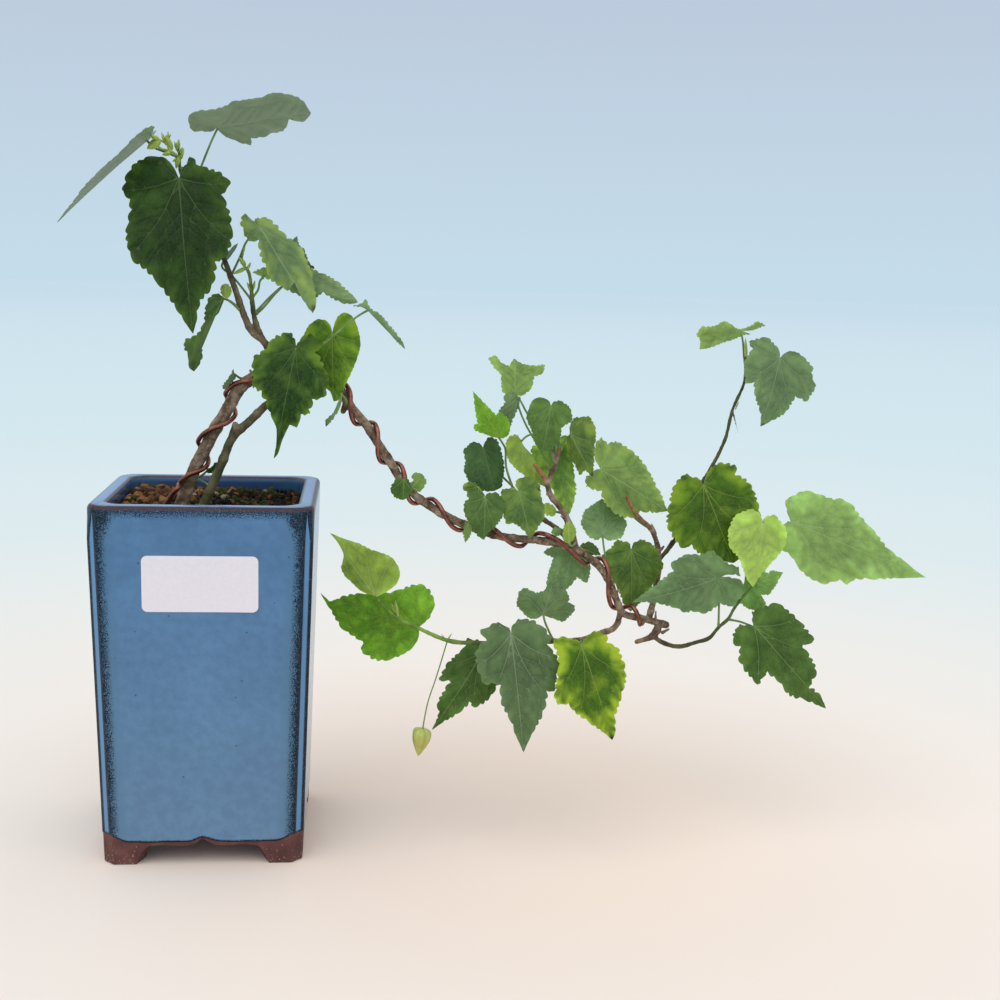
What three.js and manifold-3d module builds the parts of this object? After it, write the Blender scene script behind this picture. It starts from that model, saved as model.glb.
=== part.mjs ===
// A flowering maple grown as a cascade bonsai: tall square glazed pot, soil, wired wood, leaves and one bud.
// Millimetres, +Z up, +X to the right along the pot's front, +Y away from the front.
import * as THREE from "three";
import { mergeVertices } from "three/addons/utils/BufferGeometryUtils.js";
import Module from "manifold-3d";

// Driving dimensions.
const POT_HEIGHT = 164;
const POT_TOP = 98;
const POT_BASE = 89;
const POT_WALL = 7.5;
const POT_CHAMFER = 2.6;
const RIM_ROUND = 2.2;
const FOOT_HEIGHT = 8.5;
const FOOT_WIDTH = 14;
const APRON_DEPTH = 8;
const APRON_CUSP = 3.6;
const FLOOR_BELOW = 14;
const FLOOR_ABOVE = 20;
const DRAIN_RADIUS = 7;
const SOIL_BELOW_RIM = 8;
const SOIL_RELIEF = 1.6;
const SOIL_RISE = 1.2;
const LABEL_WIDTH = 50;
const LABEL_HEIGHT = 25;
const LABEL_CORNER = 2.5;
const LABEL_THICKNESS = 0.6;
const LABEL_CENTRE_Z = 130;
const WIRE_RADIUS = 1.1;
const WIRE_RING = 3.45;
const WIRE_RING_ON_TRUNK = 4.35;
const STALK_RADIUS = 0.55;
const STALK_STEP = 9;
const STALK_SIDES = 5;
const BLADE_THICKNESS = 0.6;
const BLADE_BOW = 0.06;
const TOOTH_SPACING = 8;
const TOOTH_DEPTH = 0.9;
const TOOTH_FORWARD = 0.3;
const BUD_RADIUS = 4.4;
const BUD_RIBS = 5;
const CLEARANCE = 0.3;

// The plant is set out as it is seen from one viewpoint in front of the pot. A point is "across down depth":
// across and down in a square view 1000 wide, and depth in mm along Y, negative towards the viewer.
const VIEW_WIDTH = 1000;
const VIEW_FOCAL = 1440;
const VIEW_EYE = new THREE.Vector3(68.43, -667.73, 270.46);
const VIEW_TURN = THREE.MathUtils.degToRad(-5.643);
const VIEW_DIP = THREE.MathUtils.degToRad(9.296);
const VIEW_ROLL = THREE.MathUtils.degToRad(1.58);

const ahead = new THREE.Vector3(
  -Math.sin(VIEW_TURN) * Math.cos(VIEW_DIP),
  Math.cos(VIEW_TURN) * Math.cos(VIEW_DIP),
  -Math.sin(VIEW_DIP),
);
const level = new THREE.Vector3(Math.cos(VIEW_TURN), Math.sin(VIEW_TURN), 0);
const viewRight = level.clone().applyAxisAngle(ahead, -VIEW_ROLL);
const viewUp = viewRight.clone().cross(ahead);

// How far the plant stands behind its drawn depth. The branch swings forward and back along its run, its
// upper twigs lean away from the viewer, and its lower ones come nearer.
const BRANCH_SWING = 13;
const BRANCH_LEAN = 0.13;
const CROWN_LEAN = 0.05;

function swing(across, down) {
  const onBranch = THREE.MathUtils.smoothstep(across, 340, 560);
  const alongBranch = (THREE.MathUtils.clamp(across, 300, 1000) - 300) / 360;
  const onCrown = 1 - THREE.MathUtils.smoothstep(across, 280, 380);
  return (
    onBranch * BRANCH_LEAN * (545 - down) -
    BRANCH_SWING * Math.sin(Math.PI * alongBranch) +
    onCrown * CROWN_LEAN * Math.max(0, 360 - down)
  );
}

function seen({ x: across, y: down, z: drawnDepth }) {
  const depth = drawnDepth + swing(across, down);
  const ray = ahead
    .clone()
    .addScaledVector(viewRight, (across - VIEW_WIDTH / 2) / VIEW_FOCAL)
    .addScaledVector(viewUp, (VIEW_WIDTH / 2 - down) / VIEW_FOCAL);
  return ray.multiplyScalar((depth - VIEW_EYE.y) / ray.y).add(VIEW_EYE);
}

// "x y z, x y z" as a list of vectors; a missing z is 0.
function trace(text) {
  return text.split(",").map((point) => {
    const [x, y, z = 0] = point.trim().split(/\s+/).map(Number);
    return new THREE.Vector3(x, y, z);
  });
}

const wasm = await Module();
wasm.setup();

function solid(geometry) {
  const bare = geometry.clone();
  bare.deleteAttribute("normal");
  bare.deleteAttribute("uv");
  const merged = mergeVertices(bare, 1e-3);
  return new wasm.Manifold(
    new wasm.Mesh({
      numProp: 3,
      vertProperties: new Float32Array(merged.getAttribute("position").array),
      triVerts: new Uint32Array(merged.index.array),
    }),
  );
}

function geometryOf(body) {
  const { vertProperties, triVerts } = body.getMesh();
  const geometry = new THREE.BufferGeometry();
  geometry.setAttribute("position", new THREE.BufferAttribute(vertProperties, 3));
  geometry.setIndex(new THREE.BufferAttribute(triVerts, 1));
  return geometry;
}

function joined(bodies) {
  return bodies.reduce((all, body) => all.add(body));
}

function largest(body) {
  return body.decompose().sort((a, b) => b.volume() - a.volume())[0];
}

const plant = new THREE.Group();

function addPart(name, body, color, roughness, metalness = 0) {
  const mesh = new THREE.Mesh(
    geometryOf(body),
    new THREE.MeshStandardMaterial({ color, roughness, metalness }),
  );
  mesh.name = name;
  plant.add(mesh);
}

// A round tube along a curve, closed at both ends, with a radius for each station. Its ends run past the
// curve's by overrun.
function tube(curve, stations, radiusAt, sides, overrun = 0) {
  const frames = curve.computeFrenetFrames(stations, false);
  const positions = [];
  for (let i = 0; i <= stations; i++) {
    const centre = curve.getPointAt(i / stations);
    if (i === 0) centre.addScaledVector(frames.tangents[i], -overrun);
    if (i === stations) centre.addScaledVector(frames.tangents[i], overrun);
    for (let k = 0; k < sides; k++) {
      const angle = (2 * Math.PI * k) / sides;
      const out = frames.normals[i]
        .clone()
        .multiplyScalar(Math.cos(angle))
        .addScaledVector(frames.binormals[i], Math.sin(angle));
      positions.push(...centre.clone().addScaledVector(out, radiusAt(i / stations)).toArray());
    }
  }
  const index = [];
  for (let i = 0; i < stations; i++) {
    for (let k = 0; k < sides; k++) {
      const a = i * sides + k;
      const b = i * sides + ((k + 1) % sides);
      index.push(a, b, a + sides, b, b + sides, a + sides);
    }
  }
  const last = stations * sides;
  for (let k = 1; k < sides - 1; k++) {
    index.push(0, k + 1, k);
    index.push(last, last + k, last + k + 1);
  }
  const geometry = new THREE.BufferGeometry();
  geometry.setAttribute("position", new THREE.Float32BufferAttribute(positions, 3));
  geometry.setIndex(index);
  return solid(geometry);
}

// Pot: a four-sided turning whose corners are cut by a second one set square to them.
function squareTurning(profile) {
  const points = profile.map(([half, z]) => new THREE.Vector2(half * Math.SQRT2, z));
  const geometry = new THREE.LatheGeometry(points, 4);
  geometry.rotateX(Math.PI / 2);
  geometry.rotateZ(Math.PI / 4);
  return solid(geometry);
}

function potHalfAt(z) {
  return (POT_BASE + ((POT_TOP - POT_BASE) * z) / POT_HEIGHT) / 2;
}

function makePot() {
  const top = POT_TOP / 2;
  const base = POT_BASE / 2;
  const innerTop = top - POT_WALL;
  const innerBase = potHalfAt(FLOOR_ABOVE) - POT_WALL;
  const outer = squareTurning([
    [0, 0],
    [base, 0],
    [potHalfAt(POT_HEIGHT - RIM_ROUND), POT_HEIGHT - RIM_ROUND],
    [top - RIM_ROUND * 0.3, POT_HEIGHT - RIM_ROUND * 0.3],
    [top - RIM_ROUND, POT_HEIGHT],
    [innerTop, POT_HEIGHT],
    [innerBase, FLOOR_ABOVE],
    [0, FLOOR_ABOVE],
  ]);
  const cutAt = (half) => half * Math.SQRT2 - POT_CHAMFER;
  const corners = new THREE.LatheGeometry(
    [
      new THREE.Vector2(0, -1),
      new THREE.Vector2(cutAt(base) * Math.SQRT2, -1),
      new THREE.Vector2(cutAt(top) * Math.SQRT2, POT_HEIGHT + 1),
      new THREE.Vector2(0, POT_HEIGHT + 1),
    ],
    4,
  ).rotateX(Math.PI / 2);
  const under = new THREE.BoxGeometry(
    POT_BASE - 2 * APRON_DEPTH,
    POT_BASE - 2 * APRON_DEPTH,
    2 * FLOOR_BELOW,
  );
  const drain = new THREE.CylinderGeometry(DRAIN_RADIUS, DRAIN_RADIUS, POT_HEIGHT / 3, 20);
  drain.rotateX(Math.PI / 2);
  return outer
    .intersect(solid(corners))
    .subtract(solid(under))
    .subtract(solid(drain))
    .subtract(apronOpening(0))
    .subtract(apronOpening(Math.PI / 2));
}

// The gap between two feet: a low flat arch with an ogee cusp at its middle, cut right through.
function apronOpening(turn) {
  const foot = POT_BASE / 2 - FOOT_WIDTH;
  const shoulder = foot - 6;
  const arch = new THREE.Shape();
  arch.moveTo(-foot, -1);
  arch.lineTo(-foot, 1);
  arch.quadraticCurveTo(-foot, FOOT_HEIGHT, -shoulder, FOOT_HEIGHT);
  arch.lineTo(-7, FOOT_HEIGHT);
  arch.quadraticCurveTo(-1.5, FOOT_HEIGHT, 0, FOOT_HEIGHT + APRON_CUSP);
  arch.quadraticCurveTo(1.5, FOOT_HEIGHT, 7, FOOT_HEIGHT);
  arch.lineTo(shoulder, FOOT_HEIGHT);
  arch.quadraticCurveTo(foot, FOOT_HEIGHT, foot, 1);
  arch.lineTo(foot, -1);
  const depth = POT_TOP + 20;
  const geometry = new THREE.ExtrudeGeometry(arch, { depth, bevelEnabled: false, curveSegments: 3 });
  geometry.translate(0, 0, -depth / 2);
  geometry.rotateX(Math.PI / 2);
  geometry.rotateZ(turn);
  return solid(geometry);
}

// Soil: a tapered block whose top is raised in crumbs by two crossing waves.
function makeSoil() {
  const below = FLOOR_ABOVE + CLEARANCE;
  const above = POT_HEIGHT - SOIL_BELOW_RIM;
  const geometry = new THREE.BoxGeometry(2, 2, above - below, 8, 8, 1);
  const position = geometry.getAttribute("position");
  for (let i = 0; i < position.count; i++) {
    const x = position.getX(i);
    const y = position.getY(i);
    const isTop = position.getZ(i) > 0;
    const crumb = (SOIL_RELIEF / 2) * (Math.sin(9 * x + 4 * y) + Math.cos(11 * y - 5 * x));
    const z = isTop ? above + crumb + SOIL_RISE * y : below;
    const half = potHalfAt(z) - POT_WALL - 2 * CLEARANCE;
    position.setXYZ(i, x * half, y * half, z);
  }
  return solid(geometry);
}

// Label: thin paper with rounded corners, lying 0.3 mm off the leaning front face.
function makeLabel() {
  const w = LABEL_WIDTH / 2;
  const h = LABEL_HEIGHT / 2;
  const r = LABEL_CORNER;
  const outline = new THREE.Shape();
  outline.moveTo(-w + r, -h);
  outline.lineTo(w - r, -h);
  outline.absarc(w - r, -h + r, r, -Math.PI / 2, 0);
  outline.absarc(w - r, h - r, r, 0, Math.PI / 2);
  outline.absarc(-w + r, h - r, r, Math.PI / 2, Math.PI);
  outline.absarc(-w + r, -h + r, r, Math.PI, 1.5 * Math.PI);
  const geometry = new THREE.ExtrudeGeometry(outline, {
    depth: LABEL_THICKNESS,
    bevelEnabled: false,
    curveSegments: 3,
  });
  const lean = Math.atan2((POT_TOP - POT_BASE) / 2, POT_HEIGHT);
  geometry.translate(0, 0, CLEARANCE);
  geometry.rotateX(Math.PI / 2 + lean);
  geometry.translate(0, -potHalfAt(LABEL_CENTRE_Z), LABEL_CENTRE_Z);
  return solid(geometry);
}

// Wood and young stems: each runs from its root to its tip, and tapers from the first radius to the second.
const MAIN_LINE =
  "176 516 2, 187 490 1, 194 470 1, 204.5 450 0, 214.5 430 0, 227 410 0, 240 388 0, 253 377 0, 275 367 0, " +
  "300 368 0, 325 378 0, 343 393 0, 349 404 0, 367 426 0, 378 443 0, 392 465 0, 400 478 0, 416 496 0, " +
  "433 508 0, 454 520 0, 491 534 0, 511 538 0, 536 540 0, 570 547 0, 596 563 0, 609 581 0, 616 599 0, " +
  "625 611 0, 641 617.5 0, 665 625 0";
const STEMS = [
  [
    "trunk_left",
    "168 526 2, 184.6 489 1, 191.6 469 0.8, 202.2 448.8 0, 212.3 428.8 0, 224.8 408.8 0, " +
      "237.8 386.8 0, 252 376 0",
    1.75,
    1.7,
  ],
  [
    "trunk_right",
    "176 526 2, 189.4 491 1.2, 196.4 471 1.2, 206.8 451.2 0.4, 216.7 431.2 0.4, 229.2 411.2 0.4, " +
      "242.2 389.2 0.2, 256 377.5 0",
    1.75,
    1.7,
  ],
  ["arch", "243 384 0, 253 377 0, 275 367 0, 300 368 0, 325 378 0, 343 393 0, 349 404 0", 1.9, 2.05],
  [
    "trunk_second",
    "190 530 -4, 206 499 -3, 214.5 480 -2.5, 223.5 459 -2, 230.5 441 -1.5, 238 431.5 -1, " +
      "251 420 0, 267 404.5 1, 292 388.5 1, 322 379 0",
    2.3,
    1.6,
  ],
  ["trunk_stub", "232 438 -1, 235.5 423.5 -1", 1.9, 1.3],
  [
    "cascade",
    "343 393 0, 349 404 0, 367 426 0, 378 443 0, 392 465 0, 400 478 0, 416 496 0, 433 508 0, 454 520 0, " +
      "491 534 0, 511 538 0, 536 540 0, 570 547 0, 596 563 0, 609 581 0, 616 599 0, 623 613 0, " +
      "641 618 0, 667 625 0",
    2.05,
    1.6,
  ],
  ["cascade_knob", "347 402 0, 343 412 -2", 1.9, 1.3],
  ["end_knuckle", "659 624 0, 656 632 0, 651 637 0", 1.8, 1.7],
  ["end_stub", "652 637 0, 636 642 0", 1.5, 0.9],
  [
    "twig_right",
    "652 636 0, 664 643 0, 678 646.5 0, 697 642 0, 709 638 0, 719 627 0, 728 619 0, 735 607 0, " +
      "754 584 -1, 774 556 -3",
    1.5,
    0.7,
  ],
  [
    "twig_middle",
    "575 549 0, 572 534 -1, 566 517 -2, 559 506 -2, 550 494 -2, 546 481 -3, 534.5 464.5 -6",
    1.9,
    1.0,
  ],
  ["twig_middle_fork", "547 484 -3, 552 472 -3, 556 462 -3, 559.5 448 -3", 1.3, 0.9],
  ["twig_middle_snag", "555 463 -3, 551 449.5 -1", 1.0, 0.8],
  ["twig_back", "574 548 0, 560 531 2, 543 519 3, 528 507 3, 512 487 3", 1.4, 0.7],
  [
    "twig_upright",
    "648 620 0, 651 611 3, 655 590 11, 659 565 11, 656.5 542 6, 651 529 2, 636 514 -3, 626.7 496.7 -6",
    1.6,
    0.9,
  ],
  [
    "twig_tall",
    "658 561 10.5, 675.6 539 8, 690 503 6, 711 468 3, 725 439.5 0, 732.5 410 -1, 744.5 381 0, 745.4 357 0",
    1.3,
    0.9,
  ],
  [
    "twig_low",
    "621 610 0, 617 624 -1, 612 629.5 -1, 604.4 631.8 -1, 580 640 0, 553 641 0, 515 643 2, " +
      "480 643 1, 450 641 -1, 419.5 628.7 -3, 398 618 -5, 379 601 -6",
    1.4,
    0.8,
  ],
  [
    "shoot_crown",
    "277 369 0, 265 343 0, 251 330 0, 234 286 -1, 224 259 0, 208 225 2, 190 195 3, 180.5 172 2, " +
      "179 153 1, 175 145 0",
    1.8,
    0.6,
  ],
  [
    "shoot_second",
    "268 348 0, 262 338 0, 255 320 0, 252 300 0, 251 285 0, 248.5 272 0, 242 262 -1, 243 252 -1",
    1.5,
    0.5,
  ],
];
const STEM_STEP = 8.5;
const STEM_SIDES = 6;

function stemTube([, route, root, tip], extra) {
  const curve = new THREE.CatmullRomCurve3(trace(route).map(seen));
  const stations = Math.max(2, Math.round(curve.getLength() / STEM_STEP));
  return tube(curve, stations, (t) => root + (tip - root) * t + extra, STEM_SIDES, extra);
}

// Training wire: wound along the main line. Each entry is "across half-turns": where the wire has made that
// many half turns, and an even count is the side to the left of the way it climbs.
const WIRE_ENTRY = "158 516 -3, 169 498.5 -4, 178 487.5 -4.5";
const WIRE_TURNS =
  "188.5 0.1, 199 1, 207 2, 226.5 3, 234 4, 262 5, 285 6, 300 7, 341 8, 361 9, 369 10, " +
    "387 11, 395 12, 417 13, " +
  "430 14, 461 15, 486 16, 522 17, 541 18, 590 19, 598 20, 617.5 21, 629 22, 645 23.1";
const WIRE_STEPS_PER_HALF_TURN = 5;
const WIRE_STEP = 3;
const WIRE_SIDES = 6;

function wireCurve() {
  const line = new THREE.CatmullRomCurve3(trace(MAIN_LINE));
  const samples = line.getPoints(600);
  const lineAt = (across) => samples.find((p) => p.x >= across);
  const knots = trace(WIRE_TURNS);
  const points = trace(WIRE_ENTRY).map(seen);
  for (let i = 0; i + 1 < knots.length; i++) {
    for (let k = 0; k < WIRE_STEPS_PER_HALF_TURN; k++) {
      const knot = knots[i].clone().lerp(knots[i + 1], k / WIRE_STEPS_PER_HALF_TURN);
      const centre = seen(lineAt(knot.x));
      const along = seen(lineAt(knot.x + 2)).sub(seen(lineAt(knot.x - 2))).normalize();
      const depth = new THREE.Vector3(0, 1, 0);
      const left = along.clone().cross(depth).normalize();
      const back = left.clone().cross(along);
      const onTrunk = 1 - THREE.MathUtils.smoothstep(knot.x, 225, 262);
      const radius = THREE.MathUtils.lerp(WIRE_RING, WIRE_RING_ON_TRUNK, onTrunk);
      const angle = Math.PI * knot.y;
      centre.addScaledVector(left, radius * Math.cos(angle));
      centre.addScaledVector(back, -radius * Math.sin(angle));
      points.push(centre);
    }
  }
  return new THREE.CatmullRomCurve3(points);
}

// Leaves. Each blade has a junction, where its stalk and ribs meet, a tip, and an outline traced down its
// left and its right side from junction to tip. lean is how far each side falls away in depth per mm from the
// midrib. stalk is the way from the junction to the stem that carries it.
const DEEP = "#2f5220";
const GREEN = "#47722a";
const SHEEN = "#5b7b58";
const FRESH = "#6f9a45";
const LIME = "#8fb23c";
const YELLOWED = "#93a03a";

const LEAVES = [
  {
    name: "leaf_crown_top",
    shade: SHEEN,
    junction: "216 128 3",
    tip: "311 112 -4",
    left:
      "213 129.6, 205 130.5, 192 129.5, 188 121, 190 114, 199 110, 215 107, 240 101.5, " +
      "262 98, 285 94, 303 101.5",
    right: "222 133, 236 139.5, 252 144, 251.5 137, 272 135, 284 130, 289 119.5, 302 121.5, 309 116",
    lean: [-1.8, 1.8],
    stalk: "212 140 5, 201 167 7, 190 195 3",
  },
  {
    name: "leaf_crown_left",
    shade: SHEEN,
    junction: "149 139 0",
    tip: "57 222 3",
    lobes: ["133 139 -20", "137 146 20"],
    stalk: "153 147 0, 168 153 1, 179 158 1",
  },
  {
    name: "leaf_crown_heart",
    shade: DEEP,
    junction: "179 178.5 -11",
    tip: "193 334 -19",
    left:
      "173 166, 165 158, 155 156.5, 141 159.5, 130 168, 121.5 191, 130 202, 127.5 232, 134 259, 148 271, " +
      "163 288, 178 310, 187 325",
    right:
      "183 168, 191 156, 200 166, 212 169.5, 222 173.5, 232 183.5, 223 194, 231 216, 233 239, 227 259, " +
      "218 262, 213 287, 201 302, 197 320",
    lean: [0.22, 0.2],
    stalk: "182 172 -7, 183.5 168 -2, 181 168 1",
  },
  {
    name: "leaf_crown_behind",
    shade: DEEP,
    junction: "223 262 8",
    tip: "238 243.5 11",
    lobes: ["228 252 0", "231 256 16"],
    stalk: "222 267 6, 233 277 4.5, 243 289 3, 252 301 0",
  },
  {
    name: "leaf_crown_yellow",
    shade: FRESH,
    junction: "260 227 -9",
    tip: "313 313 -13",
    left:
      "252 219.6, 244 213, 241 222, 246 237, 252 242, 259 240, 261 257, 266 268, 272 279, " +
      "282 287, 291 290.5, " +
      "294 282, 298 275, 303 292, 307 306",
    right: "254 217.6, 268 217, 282 232, 300 247, 307 261, 312 274, 316 295, 316 306",
    lean: [0.5, 0.9],
    stalk: "256 233 -5, 247 241 -3, 240 257 1.5, 231 276 0.5",
  },
  {
    name: "leaf_crown_right",
    shade: FRESH,
    junction: "288 281 6",
    tip: "358 302.5 4",
    left: "284 272, 291 262, 302 264, 320 272, 334 279, 346 289, 353 296",
    right: "284 289, 292 292, 306 297, 318 296.5, 323 292, 341 302, 350 303.5",
    lean: [0.7, 0.5],
    stalk: "280 288 5, 268 299 2, 257 311 0",
  },
  {
    name: "leaf_crown_dark",
    shade: DEEP,
    junction: "299 268 17",
    tip: "297 236 17",
    left: "290 264, 287 251, 291 241",
    right: "309 269.5, 315 268, 309 262, 306.5 255, 303 247.5, 300 246",
    lean: [0.1, 0.1],
    stalk: "290 279 16, 275 294 11, 264 307 5, 256.5 314 0",
  },
  {
    name: "leaf_crown_small",
    shade: GREEN,
    junction: "264 276.5 1",
    tip: "252.5 272.5 0",
    left: "268 280, 272 277, 266 267, 259 269",
    right: "264 280, 260 276, 256 274",
    lean: [0.3, 0.5],
    stalk: "260 281 1, 258 290 1.5, 252 298 0",
  },
  {
    name: "leaf_arch_spray",
    shade: FRESH,
    junction: "367 309.5 -11",
    tip: "404.5 349 -8",
    left: "362 307, 353 305, 360 304, 366 299, 370 308, 380 315, 393 329, 401 341",
    right: "371 313, 379 320, 388 330, 397 341",
    lean: [1.2, -3.5],
    stalk: "358 316 -11, 345 326 -11, 326 342 -10.5, 306 353 -9.5, 297 363 -3, 295 367 0",
  },
  {
    name: "leaf_crown_hanging",
    shade: SHEEN,
    junction: "223 297 -3",
    tip: "194 371.5 -6",
    left: "217 293, 210 297.5, 205 311, 203 322, 197 334, 185 340, 185 349, 188 353, 190 368",
    right: "223 302, 216 316, 210 320, 207.5 330, 203.5 343, 202 360, 198 366",
    lean: [-1.7, 1.7],
    stalk: "229 300.5 -2, 238 307 -1",
  },
  {
    name: "leaf_crown_young",
    shade: LIME,
    junction: "226 299 -7",
    tip: "225 283.5 -9",
    left: "221 293, 221 286",
    right: "230 296, 231.5 290, 229 285",
    lean: [0.4, 0.4],
    stalk: "232 303 -6, 239.5 310 -1",
  },
  {
    name: "leaf_arch_front",
    shade: GREEN,
    junction: "296 347 -16",
    tip: "274 459 -22",
    left:
      "294 338, 290 331.5, 282 334, 274 338, 265 350, 253 358, 252.5 369, 254 389, 261 391, 265 400, " +
      "272 416, 277 428, 276 445",
    right:
      "299 341, 306 334, 317 335, 325 346, 316 351, 322 361, 328 376, 329 386, 324 398, 314 399, 309 414, " +
      "302 414, 297 427, 290 424, 283 438, 278 454",
    lean: [0.25, 0.25],
    stalk: "295 353 -9, 291 367 0",
  },
  {
    name: "leaf_arch_back",
    shade: YELLOWED,
    junction: "332 333 -4.5",
    tip: "334 401.5 -7.5",
    left: "330 325, 326 320.5, 318 319, 309 326, 303 340, 303 356, 308 371, 320 384, 330 391",
    right: "334 325, 338 316, 344 312, 352 316, 360.5 342, 355 364, 346 384, 340 399",
    lean: [0.05, 0.1],
    stalk: "328 342 -2.5, 318 368 -1.5, 317 374 0",
  },
  {
    name: "leaf_arch_narrow",
    shade: FRESH,
    junction: "341 393 -13",
    tip: "326 426.5 -13",
    left: "339 399, 334 412, 326 420",
    right: "342 400, 338 412, 330 423",
    lean: [1.8, -1.8],
    stalk: "344 397 -10, 346.5 401 -5, 347 405 -1",
  },
  {
    name: "leaf_arch_left",
    shade: SHEEN,
    junction: "235 374 -3",
    tip: "223.5 389.5 -4",
    left: "233 369, 228 379, 223 386",
    right: "236.5 376, 230 386, 226 389",
    lean: [-1.6, 1.6],
    stalk: "240 378 -1, 244 379 0",
  },
  {
    name: "leaf_trunk_low",
    shade: DEEP,
    junction: "206 472 8",
    tip: "217 462 9",
    left: "206 468.5, 211 467.5, 214 463.5",
    right: "209 474, 213 472, 216 467",
    lean: [0.5, 0.5],
    stalk: "201 476 9, 198 478 9, 207 484 4, 210 485 -1",
  },
  {
    name: "leaf_branch_round",
    shade: GREEN,
    junction: "404 479 -8",
    tip: "403 500 -9",
    left: "402 479.5, 397 478, 392 484, 390 490, 395 497.5",
    right: "406 477, 410 482, 413 491, 408 497",
    lean: [0.2, 0.2],
    stalk: "402 481 -5, 400 479 0",
  },
  {
    name: "leaf_branch_small",
    shade: FRESH,
    junction: "412 488 -4",
    tip: "422 474 -3",
    left: "410 484, 413 480, 411 475, 416 472.5",
    right: "417 491.5, 422 491, 427 481",
    lean: [0.2, 0.3],
    stalk: "411 490 -3, 409 488 0",
  },
  {
    name: "leaf_middle_top",
    shade: FRESH,
    junction: "515 394 10",
    tip: "514 358.5 14",
    left: "508 396, 502 391, 500 374, 494 368, 488 358, 496 355, 502 363, 509 366",
    right: "522 396, 530 390, 534 377, 543 373, 545 364, 532 365.5, 520 363",
    lean: [0.5, 0.5],
    stalk: "520 400 9, 527 413 7, 545 441 2, 554 459 -2",
  },
  {
    name: "leaf_middle_lime",
    shade: LIME,
    junction: "499 438 -8",
    tip: "473 391 -10",
    left: "494 437.5, 484 434, 474 430, 473 425, 477 423, 474.5 407",
    right: "505 438, 509.5 433, 507.5 418, 499 411.5, 495 415, 480 398.5",
    lean: [0.35, 0.6],
    stalk: "503 444 -3, 505.5 450 3, 506 466 4, 511.7 485.5 3",
  },
  {
    name: "leaf_middle_dark",
    shade: SHEEN,
    junction: "518 397 4",
    tip: "509 431 3",
    left: "513 391, 503 396, 505 402, 498 411, 502 421",
    right: "521.5 397, 518 406, 513 418",
    lean: [0.4, 1.2],
    stalk: "518.5 406 4, 526 425 3, 540 449 1, 550 470 -2",
  },
  {
    name: "leaf_middle_broad",
    shade: GREEN,
    junction: "551 406 -11",
    tip: "542 453 -12",
    left: "549 401, 540 397.5, 533 400, 528 410, 526 418, 531 430, 533 440",
    right: "553.5 402, 560 400, 569 407, 571.5 414, 572 421, 561 427.5, 560 438, 549 450",
    lean: [0.2, 0.25],
    stalk: "554 414 -7, 558 435 -5, 559.3 450 -3",
  },
  {
    name: "leaf_middle_folded",
    shade: DEEP,
    junction: "483 448 -2",
    tip: "494 491 -2",
    left: "480 443.5, 472 441.5, 463 450, 465 461, 464 470, 472 485, 484 491",
    right: "484.5 443, 489 436.5, 496 439.5, 502 455, 504 468, 502 487",
    lean: [0.35, 1.1],
    stalk: "487 456 3, 500 474 7, 512 486 7, 518 493 4",
  },
  {
    name: "leaf_middle_yellow",
    shade: LIME,
    junction: "521 440 2",
    tip: "546 487.5 3",
    left: "517 434, 510 436, 506 442, 507 457, 516 469, 532 480",
    right: "523.5 445, 531 454, 537 465, 543 475",
    lean: [0.3, 1.0],
    stalk: "527 436 -0.4, 534 434.5 -3, 545 440 -4, 554 461 -3",
  },
  {
    name: "leaf_middle_behind",
    shade: GREEN,
    junction: "556 441 9",
    tip: "569 514.5 8",
    left: "548 437, 531 447, 531 456, 538 469, 550 485, 557 501, 563 509",
    right: "562 436, 569 436, 573 456, 574 475, 576 488, 573 502",
    lean: [0.2, 0.1],
    stalk: "556.5 449 3, 555 461 -2",
  },
  {
    name: "leaf_middle_cupped",
    shade: GREEN,
    junction: "570 434 -5",
    tip: "592.5 476.5 -8",
    left: "567.5 438, 567.5 451, 573 462, 579.5 475.5, 585 470",
    right: "570.5 424, 575 417, 583 417, 589 416.5, 595 429, 594 451",
    lean: [0.8, 1.0],
    stalk: "565.5 440 -3, 560.5 450 -3",
  },
  {
    name: "leaf_middle_large",
    shade: FRESH,
    junction: "601 469 4",
    tip: "668 511 1",
    left: "596 462, 594 452, 598 440, 603 437.5, 607 444, 617 441, 628 448, 645 465, 655 484",
    right: "594 470, 585 478, 587 488, 600 491, 604 502, 619 515.5, 634 517, 640 511, 658 512.5",
    lean: [0.3, 0.15],
    stalk: "610 485 9, 635 518 6, 650 529 2",
  },
  {
    name: "leaf_middle_left",
    shade: GREEN,
    junction: "485 497 -9",
    tip: "484 540 -11",
    left: "482 492, 473 489, 466 493, 468 499, 464 503, 464.5 514, 471 526, 477 535.5",
    right: "487.5 493, 497 492, 503 501, 503 514, 494 528, 489 532",
    lean: [0.15, 0.2],
    stalk: "494 500 -5, 505 494 0, 512 489 3",
    extra: {
      junction: "478 487 -6",
      tip: "463 489.5 -6",
      left: "476 483.5, 468 481, 463 485",
      right: "479 490, 468 492.5",
      lean: [0.2, 0.2],
      stalk: "481 491 -7, 485 498 -8.8",
    },
  },
  {
    name: "leaf_middle_front",
    shade: GREEN,
    junction: "519 492 -8",
    tip: "530.5 538.5 -12",
    left: "514 487.5, 501 489.5, 501 506, 506 524, 513 523, 522 529, 527 535",
    right: "515.6 485.6, 516 480, 527 475.5, 539 484, 541 498, 544.5 514, 538 527",
    lean: [0.3, 0.25],
    stalk: "522 499 -3, 527 506 3",
  },
  {
    name: "leaf_middle_round",
    shade: SHEEN,
    junction: "602.6 536.5 6",
    tip: "602 499 12",
    left: "597 540.5, 589 537, 580 523, 584 511, 592 505",
    right: "609 541, 622 538, 626.5 523, 620 513, 609 505",
    lean: [0.15, 0.15],
    stalk: "603.5 545 5, 606 561 3, 606.5 574 0",
  },
  {
    name: "leaf_middle_low",
    shade: GREEN,
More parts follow.
